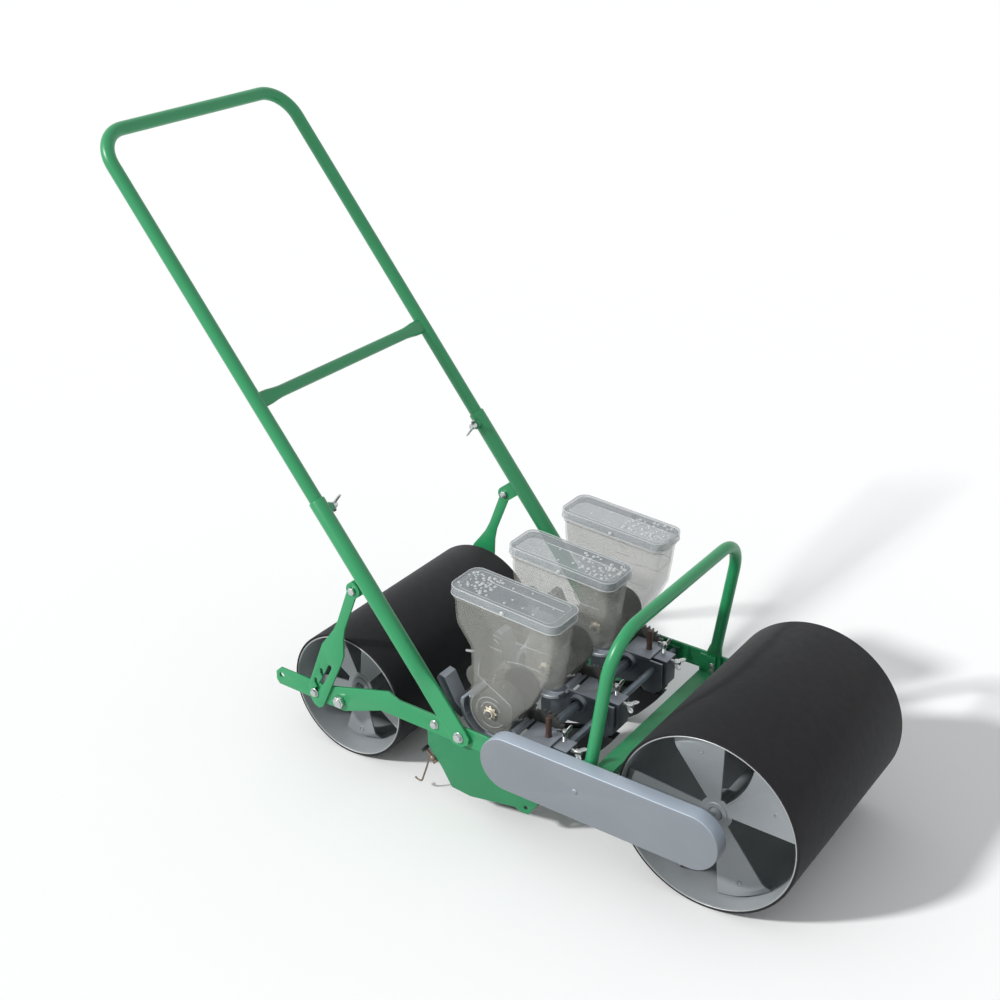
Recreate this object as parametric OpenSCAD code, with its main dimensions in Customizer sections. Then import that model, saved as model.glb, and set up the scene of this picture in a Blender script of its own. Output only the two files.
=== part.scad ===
// Three-row walk-behind seed planter on two rollers.
// Row frame: +X is the way it is pushed, +Z up, origin on the ground under the middle of its box.

/* [Rollers] */
// Outer radius of the front drive roller with its rubber skin
front_r = 120; // [112:1:126]
// Outer radius of the rear press roller with its rubber skin
rear_r = 92; // [86:1:96]
// Length of the front roller
front_w = 306; // [280:1:312]
// Length of the rear roller
rear_w = 312; // [280:1:314]
// Distance between the two roller axles
wheelbase = 541; // [530:1:560]
// Thickness of the rubber skin on both rollers
skin_t = 3; // [2:0.5:5]
// Sheet thickness of the roller drums
drum_t = 2.2; // [1.6:0.2:3.6]
// Number of wedge spokes in a roller end
spokes = 5; // [4:1:6]
// Depth of the hub below the roller's end
dish = 30; // [24:1:36]

/* [Frame] */
// Width across the outer faces of the side bars
frame_w = 342; // [340:1:350]
// Height of a side bar
bar_h = 27; // [24:1:30]
// Thickness of a side bar
bar_t = 4; // [3:0.5:4.5]
// Height of the front part of the side bars, at mid bar
bar_z = 118; // [116:1:120]
// Thickness of the lower side plates
plate_t = 3; // [2:0.5:3]
// Outer radius of the hoop tube
hoop_r = 8; // [7:0.5:8.5]
// Height of the hoop's top centre line
hoop_z = 329; // [300:1:350]
// Distance of the hoop feet behind the front axle
hoop_x = 156; // [152:1:160]
// Bend radius of the hoop's top corners
hoop_bend = 55; // [40:1:70]

/* [Handle] */
// Distance from the pivot bolt to the grip bar along the handle
handle_l = 888; // [840:1:920]
// Lean of the handle from upright, in degrees
handle_lean = 39.4; // [36:0.2:42]
// Outer radius of the upper handle tube
upper_r = 9; // [8:0.5:9.5]
// Outer radius of the lower handle tubes
lower_r = 11; // [10.5:0.5:12]
// Distance from the pivot bolt to the top of the lower tubes
collar_s = 351; // [340:1:360]
// Length of upper tube inside each lower tube
insert_l = 150; // [130:1:170]
// Distance from the pivot bolt to the cross tube
cross_s = 496; // [480:1:520]
// Bend radius of the grip bar corners
grip_bend = 45; // [35:1:60]
// Wall of the handle tubes
tube_wall = 1.5; // [1:0.1:2]

/* [Row units] */
// Distance between two neighbouring rows
row_pitch = 126.4; // [124:0.2:128]
// Length of a hopper lid
lid_l = 160; // [150:1:164]
// Width of a hopper lid
lid_w = 62; // [58:1:64]
// Height of the top of the hopper lids
lid_z = 319; // [314:1:330]
// Height of a hopper lid's skirt
lid_h = 12; // [10:1:14]
// Forward tilt of the hoppers over the seed roller, in degrees
hopper_tilt = 3.1; // [0:0.1:4]
// Wall of the hoppers
hopper_t = 2.2; // [1.6:0.2:3]
// Radius of a seed roller
seed_roller_r = 26; // [20:1:27]
// Width of a seed roller
seed_roller_w = 28; // [20:1:34]
// Radius of the clamp rod
rod_r = 5; // [4:0.5:5.5]
// Width across corners of the hexagonal seed shaft
shaft_d = 14; // [12:0.5:14]
// Height of an opener's lowest point over the ground
opener_z = 6; // [4:1:16]

/* [Drive] */
// Pitch radius of both chain sprockets
sprocket_r = 24; // [22:1:26]
// Teeth on each sprocket
sprocket_teeth = 14; // [12:1:16]
// Outer radius of the chain guard's round ends
guard_r = 37; // [36:0.5:42]
// Depth of the chain guard
guard_d = 21.5; // [18:0.5:24]
// Sheet thickness of the chain guard
guard_t = 1.5; // [1:0.1:2]

/* [Fits] */
// Radial play of turning and sliding fits
run_play = 0.08; // [0.04:0.01:0.1]
// Gap between loose neighbours
gap = 0.5; // [0.4:0.05:0.6]

/* [Hidden] */
$fn = 64;

// Places along X are given from the front axle and moved once, so that the box is centred.
pivot_back = 340;
reach = pivot_back + handle_l * sin(handle_lean) + upper_r;
shift_x = (reach - front_r) / 2;
rear_z = rear_r;
bar_in = frame_w / 2 - bar_t;
bar_out = frame_w / 2;
plate_in = bar_in - plate_t;
front_axle_r = 8;
rear_axle_r = 6;
bush_t = 3;
journal_r = 6;
shaft_x = -255.5;
rod_x = -217;
stud_x = -583;
stud_r = 2.5;
tip_x = -656;
tip_hole_x = -646;
tip_hole_r = 4;
plate_bolt_x = -382;
bolt_r = 3;
head_r = 5.5;
head_h = 4;
green = "#4bab78";
dark_green = "#3f9163";
steel = "#b9bcbd";
rubber = "#2b2c2f";
casting = "#6f7a83";
clear_grey = "#b7b6b0";

module place() {
  translate([shift_x, 0, 0]) children();
}

// A pin along Y from y0 to y1 at (x, z)
module pin(x, z, r, y0, y1) {
  translate([x, y1, z]) rotate([90, 0, 0]) cylinder(r = r, h = y1 - y0);
}

// A flat sheet standing in the XZ plane, from y0 to y1
module sheet(points, y0, y1) {
  translate([0, y1, 0]) rotate([90, 0, 0]) linear_extrude(height = y1 - y0) polygon(points);
}

// Left or right copy: side is -1 for near and 1 for far
module flip(side) {
  if (side < 0) mirror([0, 1, 0]) children();
  else children();
}

// Flat side bar with a dog-leg down to the rear axle and a rounded front end
bar_lo = bar_z - bar_h / 2;
bar_hi = bar_z + bar_h / 2;
tail_lo = rear_z - bar_h / 2;
tail_hi = rear_z + bar_h / 2;
axle_eye_r = 17;
bar_outline = [
  [0, bar_lo], [0, bar_hi], [-440, bar_hi], [-458, bar_hi + 7], [-566, tail_hi + 1],
  [tip_x + 8, tail_hi], [tip_x, tail_hi - 8], [tip_x, tail_lo + 6], [tip_x + 5, tail_lo],
  [-534, tail_lo], [-470, bar_lo]
];
module side_bar(side) {
  color(green) flip(side) difference() {
    union() {
      sheet(bar_outline, bar_in, bar_out);
      pin(0, front_r, axle_eye_r, bar_in, bar_out);
    }
    pin(0, front_r, front_axle_r + bush_t, bar_in - 1, bar_out + 1);
    pin(shaft_x, bar_z, journal_r + bush_t, bar_in - 1, bar_out + 1);
    pin(rod_x, bar_z, rod_r - 1, bar_in - 1, bar_out + 1);
    pin(-wheelbase, rear_z, rear_axle_r, bar_in - 1, bar_out + 1);
    pin(stud_x, rear_z, stud_r, bar_in - 1, bar_out + 1);
    pin(tip_hole_x, rear_z + 2, tip_hole_r, bar_in - 1, bar_out + 1);
    pin(-pivot_back, bar_z, bolt_r + 1, bar_in - 1, bar_out + 1);
    pin(plate_bolt_x, bar_z, bolt_r, bar_in - 1, bar_out + 1);
    for (z = foot_bolt_z) pin(-hoop_x, z, foot_bolt_r, bar_in - 1, bar_out + 1);
  }
}

// Lower side plate behind the bar, with its lug at the front corner
plate_outline = [
  [-398, bar_hi - 6], [-396, 79], [-374, 52], [-358, 27], [-328, 25], [-259, 39],
  [-249, 35], [-238, 36], [-225, 55], [-208, bar_hi - 6]
];
lug_hole = [-242, 45];
module side_plate(side) {
  color(dark_green) flip(side) difference() {
    sheet(plate_outline, plate_in, bar_in);
    pin(shaft_x, bar_z, journal_r + bush_t, plate_in - 1, bar_in + 1);
    pin(rod_x, bar_z, rod_r + gap, plate_in - 1, bar_in + 1);
    pin(-pivot_back, bar_z, bolt_r + 1, plate_in - 1, bar_in + 1);
    pin(plate_bolt_x, bar_z, bolt_r, plate_in - 1, bar_in + 1);
    pin(lug_hole[0], lug_hole[1], bolt_r, plate_in - 1, bar_in + 1);
  }
}

// Folded cross bar between the side bars, with end tabs behind the hoop feet
foot_t = 4;
tab_t = 3;
cross_w = 24;
foot_bolt_r = 2.5;
foot_bolt_z = [bar_z - 9, bar_z - 1];
foot_in = bar_in - foot_t;
tab_in = foot_in - tab_t;
module cross_bar() {
  color(green) difference() {
    union() {
      translate([-hoop_x - cross_w / 2 - 7, -foot_in, bar_lo - tab_t])
        cube([cross_w, 2 * foot_in, tab_t]);
      translate([-hoop_x + cross_w / 2 - 7 - tab_t, -foot_in, bar_lo - cross_w / 2])
        cube([tab_t, 2 * foot_in, cross_w / 2]);
      for (side = [-1, 1]) flip(side)
        translate([-hoop_x - cross_w / 2 - 7, tab_in, bar_lo - tab_t])
          cube([cross_w, tab_t, bar_h + tab_t]);
    }
    for (side = [-1, 1]) flip(side)
      for (z = foot_bolt_z) pin(-hoop_x, z, foot_bolt_r, tab_in - 1, foot_in + 1);
  }
}

// Hoop: one bent tube with flattened feet against the inner faces of the side bars
hoop_leg_y = bar_in - 5.3;
hoop_lean = 7.4;
hoop_base_z = 152;
foot_w = 22;
hoop_top_s = (hoop_z - hoop_base_z) / cos(hoop_lean);
module half_hoop() {
  translate([0, hoop_leg_y, 0]) cylinder(r = hoop_r, h = hoop_top_s - hoop_bend);
  translate([0, hoop_leg_y - hoop_bend, hoop_top_s - hoop_bend]) rotate([0, -90, 0])
    rotate_extrude(angle = 90) translate([hoop_bend, 0]) circle(r = hoop_r);
  translate([0, 0, hoop_top_s]) rotate([-90, 0, 0])
    cylinder(r = hoop_r, h = hoop_leg_y - hoop_bend);
}
module hoop() {
  base_x = -hoop_x + (hoop_base_z - bar_z) * tan(hoop_lean);
  color(green) difference() {
    union() {
      translate([base_x, 0, hoop_base_z]) rotate([0, hoop_lean, 0])
        for (side = [-1, 1]) flip(side) half_hoop();
      for (side = [-1, 1]) flip(side) {
        hull() {
          translate([base_x, hoop_leg_y, hoop_base_z]) rotate([0, hoop_lean, 0])
            cylinder(r = hoop_r - 0.2, h = 2, $fn = 32);
          translate([-hoop_x - foot_w / 2, foot_in, bar_hi + 1]) cube([foot_w, foot_t, 0.2]);
        }
        translate([-hoop_x - foot_w / 2, foot_in, bar_lo + 1]) cube([foot_w, foot_t, bar_h + 0.2]);
      }
    }
    for (side = [-1, 1]) flip(side)
      for (z = foot_bolt_z) pin(-hoop_x, z, foot_bolt_r, foot_in - 1, bar_in + 1);
  }
}

// Clamp rod: round bar between the side bars, with spigots and nuts at its ends
spigot_l = bar_t + 5;
module clamp_rod() {
  color(steel) {
    pin(rod_x, bar_z, rod_r, -bar_in, bar_in);
    for (side = [-1, 1]) flip(side) {
      pin(rod_x, bar_z, rod_r - 1, bar_in, bar_in + spigot_l);
      translate([rod_x, bar_out + head_h, bar_z]) rotate([90, 30, 0])
        cylinder(r = head_r + 1, h = head_h, $fn = 6);
    }
  }
}

// Chain guard: obround pan over both sprockets, on a spacer at the middle
guard_lap = 0.8;
guard_y = -bar_out - guard_d + guard_lap;
guard_x = shaft_x - 3;
screw_x = -156;
screw_z = bar_z + 5;
module obround(back_x, r, y0, y1) {
  sheet([[back_x, bar_z - r], [0, front_r - r], [0, front_r + r], [back_x, bar_z + r]], y0, y1);
  pin(back_x, bar_z, r, y0, y1);
  pin(0, front_r, r, y0, y1);
}
module chain_guard() {
  color("#9aa0a3") difference() {
    union() {
      difference() {
        obround(guard_x, guard_r, guard_y, guard_y + guard_d);
        obround(guard_x, guard_r - guard_t, guard_y + guard_t, guard_y + guard_d + 1);
      }
      pin(screw_x, screw_z, 6, guard_y + guard_t, -bar_out);
    }
    pin(screw_x, screw_z, bolt_r, guard_y - 1, -bar_out + 1);
    translate([guard_x - guard_r - 5, -bar_out - gap, bar_lo - gap])
      cube([guard_r, guard_d, bar_h + 2 * gap]);
  }
}

// Drive chain: two rings of side plates with cross pins on the straight runs
sprocket_y = -bar_out - 9;
sprocket_t = 3;
chain_plate_t = 1;
chain_h = 7;
chain_gap = 1.1;
pin_count = 22;
chain_pin_r = 1.6;
module chain_ring(y0) {
  difference() {
    obround(shaft_x, sprocket_r + chain_h / 2, y0, y0 + chain_plate_t);
    obround(shaft_x, sprocket_r - chain_h / 2, y0 - 1, y0 + chain_plate_t + 1);
  }
}
module drive_chain() {
  half = sprocket_t / 2 + chain_gap;
  color("#5b5d5f") {
    chain_ring(sprocket_y + half);
    chain_ring(sprocket_y - half - chain_plate_t);
    for (i = [1:pin_count], s = [-1, 1]) {
      t = i / (pin_count + 1);
      x = shaft_x + 6 + t * (-shaft_x - 12);
      z = bar_z + (front_r - bar_z) * (1 - x / shaft_x) + s * sprocket_r;
      pin(x, z, chain_pin_r, sprocket_y - half - chain_plate_t,
          sprocket_y + half + chain_plate_t);
    }
  }
}

// A toothed wheel in the XZ plane
function toothed(r, n, add, ded, phase) = [
  for (i = [0:n - 1], k = [0:3])
    let (step = 360 / n, w = [-0.3, -0.15, 0.15, 0.3][k],
         a = phase + (i + w) * step, q = (k == 0 || k == 3) ? r - ded : r + add)
    [q * cos(a), q * sin(a)]
];
module wheel(x, z, r, n, add, ded, phase, y0, y1) {
  translate([x, y1, z]) rotate([90, 0, 0]) linear_extrude(height = y1 - y0)
    polygon(toothed(r, n, add, ded, phase));
}

module front_sprocket() {
  color("#6a6c6e") difference() {
    union() {
      wheel(0, front_r, sprocket_r, sprocket_teeth, 3, 3.5, 0,
            sprocket_y - sprocket_t / 2, sprocket_y + sprocket_t / 2);
      pin(0, front_r, front_axle_r + 5, sprocket_y - sprocket_t / 2, sprocket_y + 6);
    }
    pin(0, front_r, front_axle_r, sprocket_y - 10, sprocket_y + 10);
  }
}
module driven_sprocket() {
  color("#6a6c6e") difference() {
    union() {
      wheel(shaft_x, bar_z, sprocket_r, sprocket_teeth, 3, 3.5, 0,
            sprocket_y - sprocket_t / 2, sprocket_y + sprocket_t / 2);
      pin(shaft_x, bar_z, journal_r + 5, sprocket_y - sprocket_t / 2, sprocket_y + 6);
    }
    pin(shaft_x, bar_z, journal_r, sprocket_y - 10, sprocket_y + 10);
  }
}

// Hexagon head with its washer and shank, head outside, along Y on the far side
module hex_bolt(x, z, shank_r, y_in, y_face) {
  pin(x, z, shank_r, y_in, y_face);
  pin(x, z, head_r + 1.5, y_face, y_face + 1.2);
  translate([x, y_face + 1.2 + head_h, z]) rotate([90, 0, 0])
    cylinder(r = head_r, h = head_h, $fn = 6);
}
flat_t = 5;
strut_t = 3.2;
strut_in = bar_out + gap;
module frame_bolts() {
  color(steel) {
    for (side = [-1, 1]) flip(side) {
      hex_bolt(plate_bolt_x, bar_z, bolt_r, plate_in, bar_out);
      hex_bolt(stud_x, rear_z, stud_r, bar_in, strut_in + strut_t + 0.4);
      pin(-pivot_back, bar_z, bolt_r + 1, plate_in - 3, bar_out + flat_t + gap);
      translate([-pivot_back, bar_out + flat_t + gap + head_h, bar_z]) rotate([90, 0, 0])
        cylinder(r = head_r + 1.5, h = head_h, $fn = 6);
      for (z = foot_bolt_z) {
        pin(-hoop_x, z, foot_bolt_r, tab_in - 0.1, bar_out);
        translate([-hoop_x, tab_in, z]) rotate([90, 0, 0]) cylinder(r = 4.2, h = 3, $fn = 6);
      }
    }
    pin(screw_x, screw_z, bolt_r, guard_y, -bar_out);
    translate([screw_x, guard_y, screw_z]) rotate([90, 0, 0]) cylinder(r = 5, h = 2);
  }
}

// Plain bushes of the front axle and of the seed shaft in the side bars
flange_t = 1.5;
module bush(x, z, r, y0, y1) {
  difference() {
    union() {
      pin(x, z, r + bush_t, y0, y1);
      pin(x, z, r + bush_t + 2, y1, y1 + flange_t);
    }
    pin(x, z, r + run_play, y0 - 1, y1 + flange_t + 1);
  }
}
module axle_bushes() {
  color("#a8894f") for (side = [-1, 1]) flip(side) {
    bush(0, front_r, front_axle_r, bar_in, bar_out);
    bush(shaft_x, bar_z, journal_r, plate_in, bar_out);
  }
}

// Fixed rear axle with a nut outside each side bar
module rear_axle() {
  color(steel) {
    pin(-wheelbase, rear_z, rear_axle_r, -bar_out - 8, bar_out + 8);
    for (side = [-1, 1]) flip(side) translate([-wheelbase, bar_out + 6, rear_z])
      rotate([90, 0, 0]) cylinder(r = 9, h = 6, $fn = 6);
  }
}

// Roller shells and their dished ends of wedge spokes
module shell(x, z, r_out, r_in, w) {
  difference() {
    pin(x, z, r_out, -w / 2, w / 2);
    pin(x, z, r_in, -w / 2 - 1, w / 2 + 1);
  }
}
spoke_t = 2.5;
spoke_wide = 37;
hub_r = 15;
hub_l = 34;
rim_step = 7;
flange_l = 14;
module spoke(r_in, half_w) {
  rise = atan2(dish - rim_step, r_in - hub_r);
  outer = r_in / cos(rise) + 8;
  half = spoke_wide / 2;
  translate([0, half_w - dish - hub_r * tan(rise), 0]) rotate([-rise, 0, 0]) rotate([90, 0, 0])
    linear_extrude(height = spoke_t)
      polygon([[-7, hub_r - 3], [7, hub_r - 3], [outer * sin(half), outer * cos(half)],
               [-outer * sin(half), outer * cos(half)]]);
}
module spoke_flange(r_in, half_w) {
  reach = r_in * sin(spoke_wide / 2) - 1;
  difference() {
    translate([-reach, half_w - rim_step - flange_l, r_in * 0.8])
      cube([2 * reach, flange_l, r_in]);
    translate([0, half_w, 0]) rotate([90, 0, 0]) cylinder(r = r_in - spoke_t, h = 40);
  }
}
module spider(x, z, r_in, half_w, axle_r, first) {
  translate([x, 0, z]) difference() {
    union() {
      translate([0, half_w - dish + 4, 0]) rotate([90, 0, 0]) cylinder(r = hub_r, h = hub_l);
      intersection() {
        for (i = [0:spokes - 1]) rotate([0, first + i * 360 / spokes, 0]) {
          spoke(r_in, half_w);
          spoke_flange(r_in, half_w);
        }
        translate([0, half_w, 0]) rotate([90, 0, 0]) cylinder(r = r_in, h = dish + 12);
      }
    }
    translate([0, half_w, 0]) rotate([90, 0, 0]) cylinder(r = axle_r, h = dish + hub_l);
  }
}
module front_drum() {
  color(steel) shell(0, front_r, front_r - skin_t, front_r - skin_t - drum_t, front_w);
}
module front_skin() {
  color(rubber) shell(0, front_r, front_r, front_r - skin_t, front_w);
}
module front_spiders() {
  color(steel) for (side = [-1, 1]) flip(side)
    spider(0, front_r, front_r - skin_t - drum_t, front_w / 2, front_axle_r, -11);
}
module front_axle() {
  color(steel) pin(0, front_r, front_axle_r, sprocket_y - 4, bar_out + 4);
}
module rear_drum() {
  color(steel) shell(-wheelbase, rear_z, rear_r - skin_t, rear_r - skin_t - drum_t, rear_w);
}
module rear_skin() {
  color(rubber) shell(-wheelbase, rear_z, rear_r, rear_r - skin_t, rear_w);
}
module rear_spiders() {
  color(steel) for (side = [-1, 1]) flip(side)
    spider(-wheelbase, rear_z, rear_r - skin_t - drum_t, rear_w / 2, rear_axle_r + run_play, 26);
}

// Seed shaft: hexagon between the side plates, round journals in the bushes
hex_r = shaft_d / 2;
module seed_shaft() {
  color(steel) {
    translate([shaft_x, plate_in - 1.5, bar_z]) rotate([90, 0, 0])
      cylinder(r = hex_r, h = 2 * plate_in - 3, $fn = 6);
    pin(shaft_x, bar_z, journal_r, sprocket_y - 3, bar_out + 4);
  }
}

// Row units: places are given around the unit's own middle plane
function row_y(n) = (n - 2) * row_pitch;
tooth_size = 2;
pinion_teeth = 30;
wheel_teeth = 34;
mesh_angle = 145;
gear_dist = tooth_size * (pinion_teeth + wheel_teeth) / 2;
roller_x = shaft_x + gear_dist * cos(mesh_angle);
roller_z = bar_z + gear_dist * sin(mesh_angle);
hopper_half = 24;
gear_y = hopper_half + 0.8;
gear_w = 5;
roller_shaft_r = 4.5;
hopper_end_r = seed_roller_r + 4.8 + hopper_t;
saddle_r = hopper_end_r + gap;
rim_in = 39.5;
rim_out = 44;
rim_near = 28;
arc_from = 168;
arc_to = 326;
face_y = 23;
face_t = 3.5;
web_t = 3;
block_half = 13;
boss_r = 13;
boss_near = 30;
boss_x1 = -201;
boss_top = bar_z + 16;
shank_x = -236;
shank_r = 4;
shaft_play = 1.2;
screw_r = 2.5;
depth_screw_z = bar_z + rod_r + 1.8 + screw_r;
rod_screw_y = 7;
step_x = -222;
step_z = boss_top - 3;
chute_x = roller_x;
chute_l = 26;
chute_w = 28;
chute_low = 64;
chute_t = 3;
face_outline = [
  [-299, 88], [-299, boss_top], [step_x, boss_top], [step_x, step_z], [-203, step_z],
  [-203, 92], [-212, 81], [-229, 81], [-238, 90], [-270, 85]
];
block_outline = [
  [-244, 96], [-244, boss_top], [step_x, boss_top], [step_x, step_z], [boss_x1, step_z],
  [boss_x1, 92], [-211, 78], [-227, 78]
];
web_outline = [
  [-264, -face_y], [step_x, -face_y], [step_x, block_half], [-232, hopper_half - 4],
  [-266, hopper_half - 4]
];
arm_w = 24;
arm_outline = [
  [-343, 138], [-352, 132], [-369, 141], [-390, 178], [-386, 185], [-377, 183], [-361, 153]
];
module arc_band(r_in, r_out, y0, y1) {
  far = 2 * r_out;
  difference() {
    pin(roller_x, roller_z, r_out, y0, y1);
    pin(roller_x, roller_z, r_in, y0 - 1, y1 + 1);
    sheet([[roller_x, roller_z],
           [roller_x + far * cos(arc_from), roller_z + far * sin(arc_from)],
           [roller_x - far, roller_z + far], [roller_x + far, roller_z + far],
           [roller_x + far * cos(arc_to), roller_z + far * sin(arc_to)]], y0 - 1, y1 + 1);
  }
}
module unit_bracket(n) {
  color(casting) translate([0, row_y(n), 0]) difference() {
    union() {
      difference() {
        sheet(face_outline, -face_y, -face_y + face_t);
        pin(roller_x, roller_z, rim_in, -40, 40);
      }
      translate([0, 0, boss_top - web_t]) linear_extrude(height = web_t) polygon(web_outline);
      sheet(block_outline, -block_half, block_half);
      pin(shaft_x, bar_z, boss_r, -boss_near, hopper_half);
      arc_band(rim_in, rim_out, -rim_near, hopper_half);
      arc_band(saddle_r, rim_in + 1, -rim_near + 10, hopper_half - 6);
      translate([chute_x - chute_l / 2, -chute_w / 2, chute_low])
        cube([chute_l, chute_w, roller_z - rim_in - chute_low]);
      sheet(arm_outline, -rim_near, arm_w - rim_near);
    }
    translate([chute_x - chute_l / 2 + chute_t, -chute_w / 2 + chute_t, chute_low - 1])
      cube([chute_l - 2 * chute_t, chute_w - 2 * chute_t, roller_z - chute_low - 20]);
    pin(rod_x, bar_z, rod_r + run_play, -40, 40);
    pin(shaft_x, bar_z, hex_r + shaft_play, -40, 40);
    translate([shank_x, 0, 50]) cylinder(r = shank_r + run_play, h = 100);
    translate([rod_x, rod_screw_y, bar_z]) cylinder(r = screw_r + run_play, h = 30);
    translate([shank_x, 0, depth_screw_z]) rotate([0, 90, 0])
      cylinder(r = screw_r + run_play, h = 60);
  }
}

// Hopper: clear box that narrows to a round end over the seed roller, open at the top
function unit2(v) = v / norm(v);
function inset(p, w) = [
  for (i = [0:len(p) - 1])
    let (a = p[(i + len(p) - 1) % len(p)], b = p[i], c = p[(i + 1) % len(p)],
         d1 = unit2(b - a), d2 = unit2(c - b), n1 = [-d1[1], d1[0]], n2 = [-d2[1], d2[0]])
    b + (n1 + n2) * w / (1 + n1 * n2)
];
hopper_x = -298.9;
lid_t = 2.2;
seat = 0.3;
box_l = lid_l - 2 * (lid_t + gap);
box_w = lid_w - 2 * (lid_t + gap);
box_top = lid_z - lid_t - seat;
box_low = lid_z - 18;
corner_r = 12;
hopper_front = hopper_x + box_l / 2;
hopper_back = hopper_x - box_l / 2;
hopper_outline = [
  [hopper_back + 1, box_low + 1], [-366, 266], [-343, 239], [-340, 204],
  [roller_x - hopper_end_r, roller_z], [roller_x + hopper_end_r, roller_z],
  [-263, 172], [-248, 191], [-229, 240], [hopper_front - 1, box_low + 1]
];
module rounded_box(l, w, r, z0, z1) {
  translate([hopper_x, 0, z0]) linear_extrude(height = z1 - z0) {
    square([l - 2 * r, w], center = true);
    square([l, w - 2 * r], center = true);
    for (i = [-1, 1], j = [-1, 1]) translate([i * (l / 2 - r), j * (w / 2 - r)]) circle(r = r);
  }
}
// Tips the hopper and its lid about the roller's axis
module tipped() {
  translate([roller_x, 0, roller_z]) rotate([0, hopper_tilt, 0])
    translate([-roller_x, 0, -roller_z]) children();
}
module hopper(n) {
  inner_w = 2 * (hopper_half - hopper_t);
  color(clear_grey) translate([0, row_y(n), 0]) tipped() difference() {
    union() {
      rounded_box(box_l, box_w, corner_r, box_low, box_top);
      intersection() {
        sheet(hopper_outline, -hopper_half, hopper_half);
        rounded_box(box_l, 2 * hopper_half, corner_r, 100, box_low + 1);
      }
      pin(roller_x, roller_z, hopper_end_r, -hopper_half, hopper_half);
      pin(-332, 197, 17, 1 - hopper_half, -8);
    }
    rounded_box(box_l - 2 * hopper_t - 2, inner_w, corner_r - hopper_t,
                box_low - 2 * hopper_t, box_top + 1);
    intersection() {
      sheet(inset(hopper_outline, hopper_t), -inner_w / 2, inner_w / 2);
      rounded_box(box_l - 2 * hopper_t, inner_w, corner_r - hopper_t, 100, box_low + 1);
    }
    pin(roller_x, roller_z, hopper_end_r - hopper_t, -inner_w / 2, inner_w / 2);
    pin(roller_x, roller_z, roller_shaft_r + run_play, -40, 40);
    translate([chute_x - 9, -9, roller_z - hopper_end_r - 1]) cube([18, 18, 12]);
  }
}
module hopper_lid(n) {
  color("#c9c9c5") translate([0, row_y(n), 0]) tipped() difference() {
    rounded_box(lid_l, lid_w, corner_r + lid_t + gap, lid_z - lid_h, lid_z);
    rounded_box(lid_l - 2 * lid_t, lid_w - 2 * lid_t, corner_r + gap, lid_z - lid_h - 1,
                lid_z - lid_t);
  }
}

// Opener: round shank with a curved knife shoe, hollow behind for the seed
shoe_top = 72;
shoe_outline = [
  [-209, shoe_top], [-215, 62], [-226, 48], [-243, 28], [-262, 12], [-280, opener_z],
  [-318, opener_z], [-324, 20], [-318, 46], [-290, 56], [-246, shoe_top]
];
module opener(n) {
  color("#2f3436") translate([0, row_y(n), 0]) {
    difference() {
      union() {
        translate([shank_x, 0, shoe_top - 6]) cylinder(r = shank_r, h = 163 - shoe_top + 6);
        sheet(shoe_outline, -9, 9);
      }
      sheet([[-251, 90], [-256, 55], [-290, 20], [-340, 20], [-340, 90]], -7, 7);
    }
  }
}

// Gears of a row unit: pinion on the seed shaft, wheel on the seed roller's shaft
tooth_add = 1.5;
tooth_ded = 2.4;
module pinion(n) {
  r = tooth_size * pinion_teeth / 2;
  color("#c9cbcc") translate([0, row_y(n), 0]) difference() {
    wheel(shaft_x, bar_z, r, pinion_teeth, tooth_add, tooth_ded, mesh_angle,
          gear_y, gear_y + gear_w);
    translate([shaft_x, 60, bar_z]) rotate([90, 0, 0])
      cylinder(r = hex_r + 0.15, h = 60, $fn = 6);
  }
}
module seed_roller(n) {
  r = tooth_size * wheel_teeth / 2;
  color("#e2e0d6") translate([0, row_y(n), 0]) {
    difference() {
      pin(roller_x, roller_z, seed_roller_r, -seed_roller_w / 2, seed_roller_w / 2);
      for (i = [0:11]) translate([roller_x, 0, roller_z]) rotate([0, i * 30, 0])
        translate([0, 0, seed_roller_r]) sphere(r = 3);
    }
    pin(roller_x, roller_z, roller_shaft_r, -hopper_half - nut_l - 1.5, gear_y + gear_w);
    wheel(roller_x, roller_z, r, wheel_teeth, tooth_add, tooth_ded,
          mesh_angle + 180 + 180 / wheel_teeth, gear_y, gear_y + gear_w);
  }
}
// Star washer and nut on the roller shaft's near end
nut_l = 6.5;
module roller_nut(n) {
  y0 = -hopper_half - gap;
  color("#b59a5a") translate([0, row_y(n), 0]) difference() {
    union() {
      wheel(roller_x, roller_z, 8.5, 8, 1.2, 1.2, 0, y0 - 1.2, y0);
      translate([roller_x, y0 - 1.2, roller_z]) rotate([90, 0, 0])
        cylinder(r = 7, h = nut_l - 1.7, $fn = 6);
    }
    pin(roller_x, roller_z, roller_shaft_r, -60, 0);
  }
}

// Wing screw: threaded stem with a two-winged head, along +Z
module wing_screw(stem_l, stem_r, wing_l, wing_h) {
  translate([0, 0, -stem_l]) cylinder(r = stem_r, h = stem_l);
  cylinder(r = stem_r + 2, h = wing_h * 0.6);
  translate([-wing_l, -1.25, wing_h * 0.3]) cube([2 * wing_l, 2.5, wing_h * 0.7]);
}
module rod_screw(n) {
  lift = 5;
  color(steel) translate([rod_x, row_y(n) + rod_screw_y, boss_top + lift])
    wing_screw(boss_top + lift - bar_z - rod_r, screw_r, 10, 12);
}
module depth_screw(n) {
  lift = 6;
  color(steel) translate([boss_x1 + lift, row_y(n), depth_screw_z]) rotate([0, 90, 0])
    wing_screw(boss_x1 + lift - shank_x - shank_r, screw_r, 9, 12);
}

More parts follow.
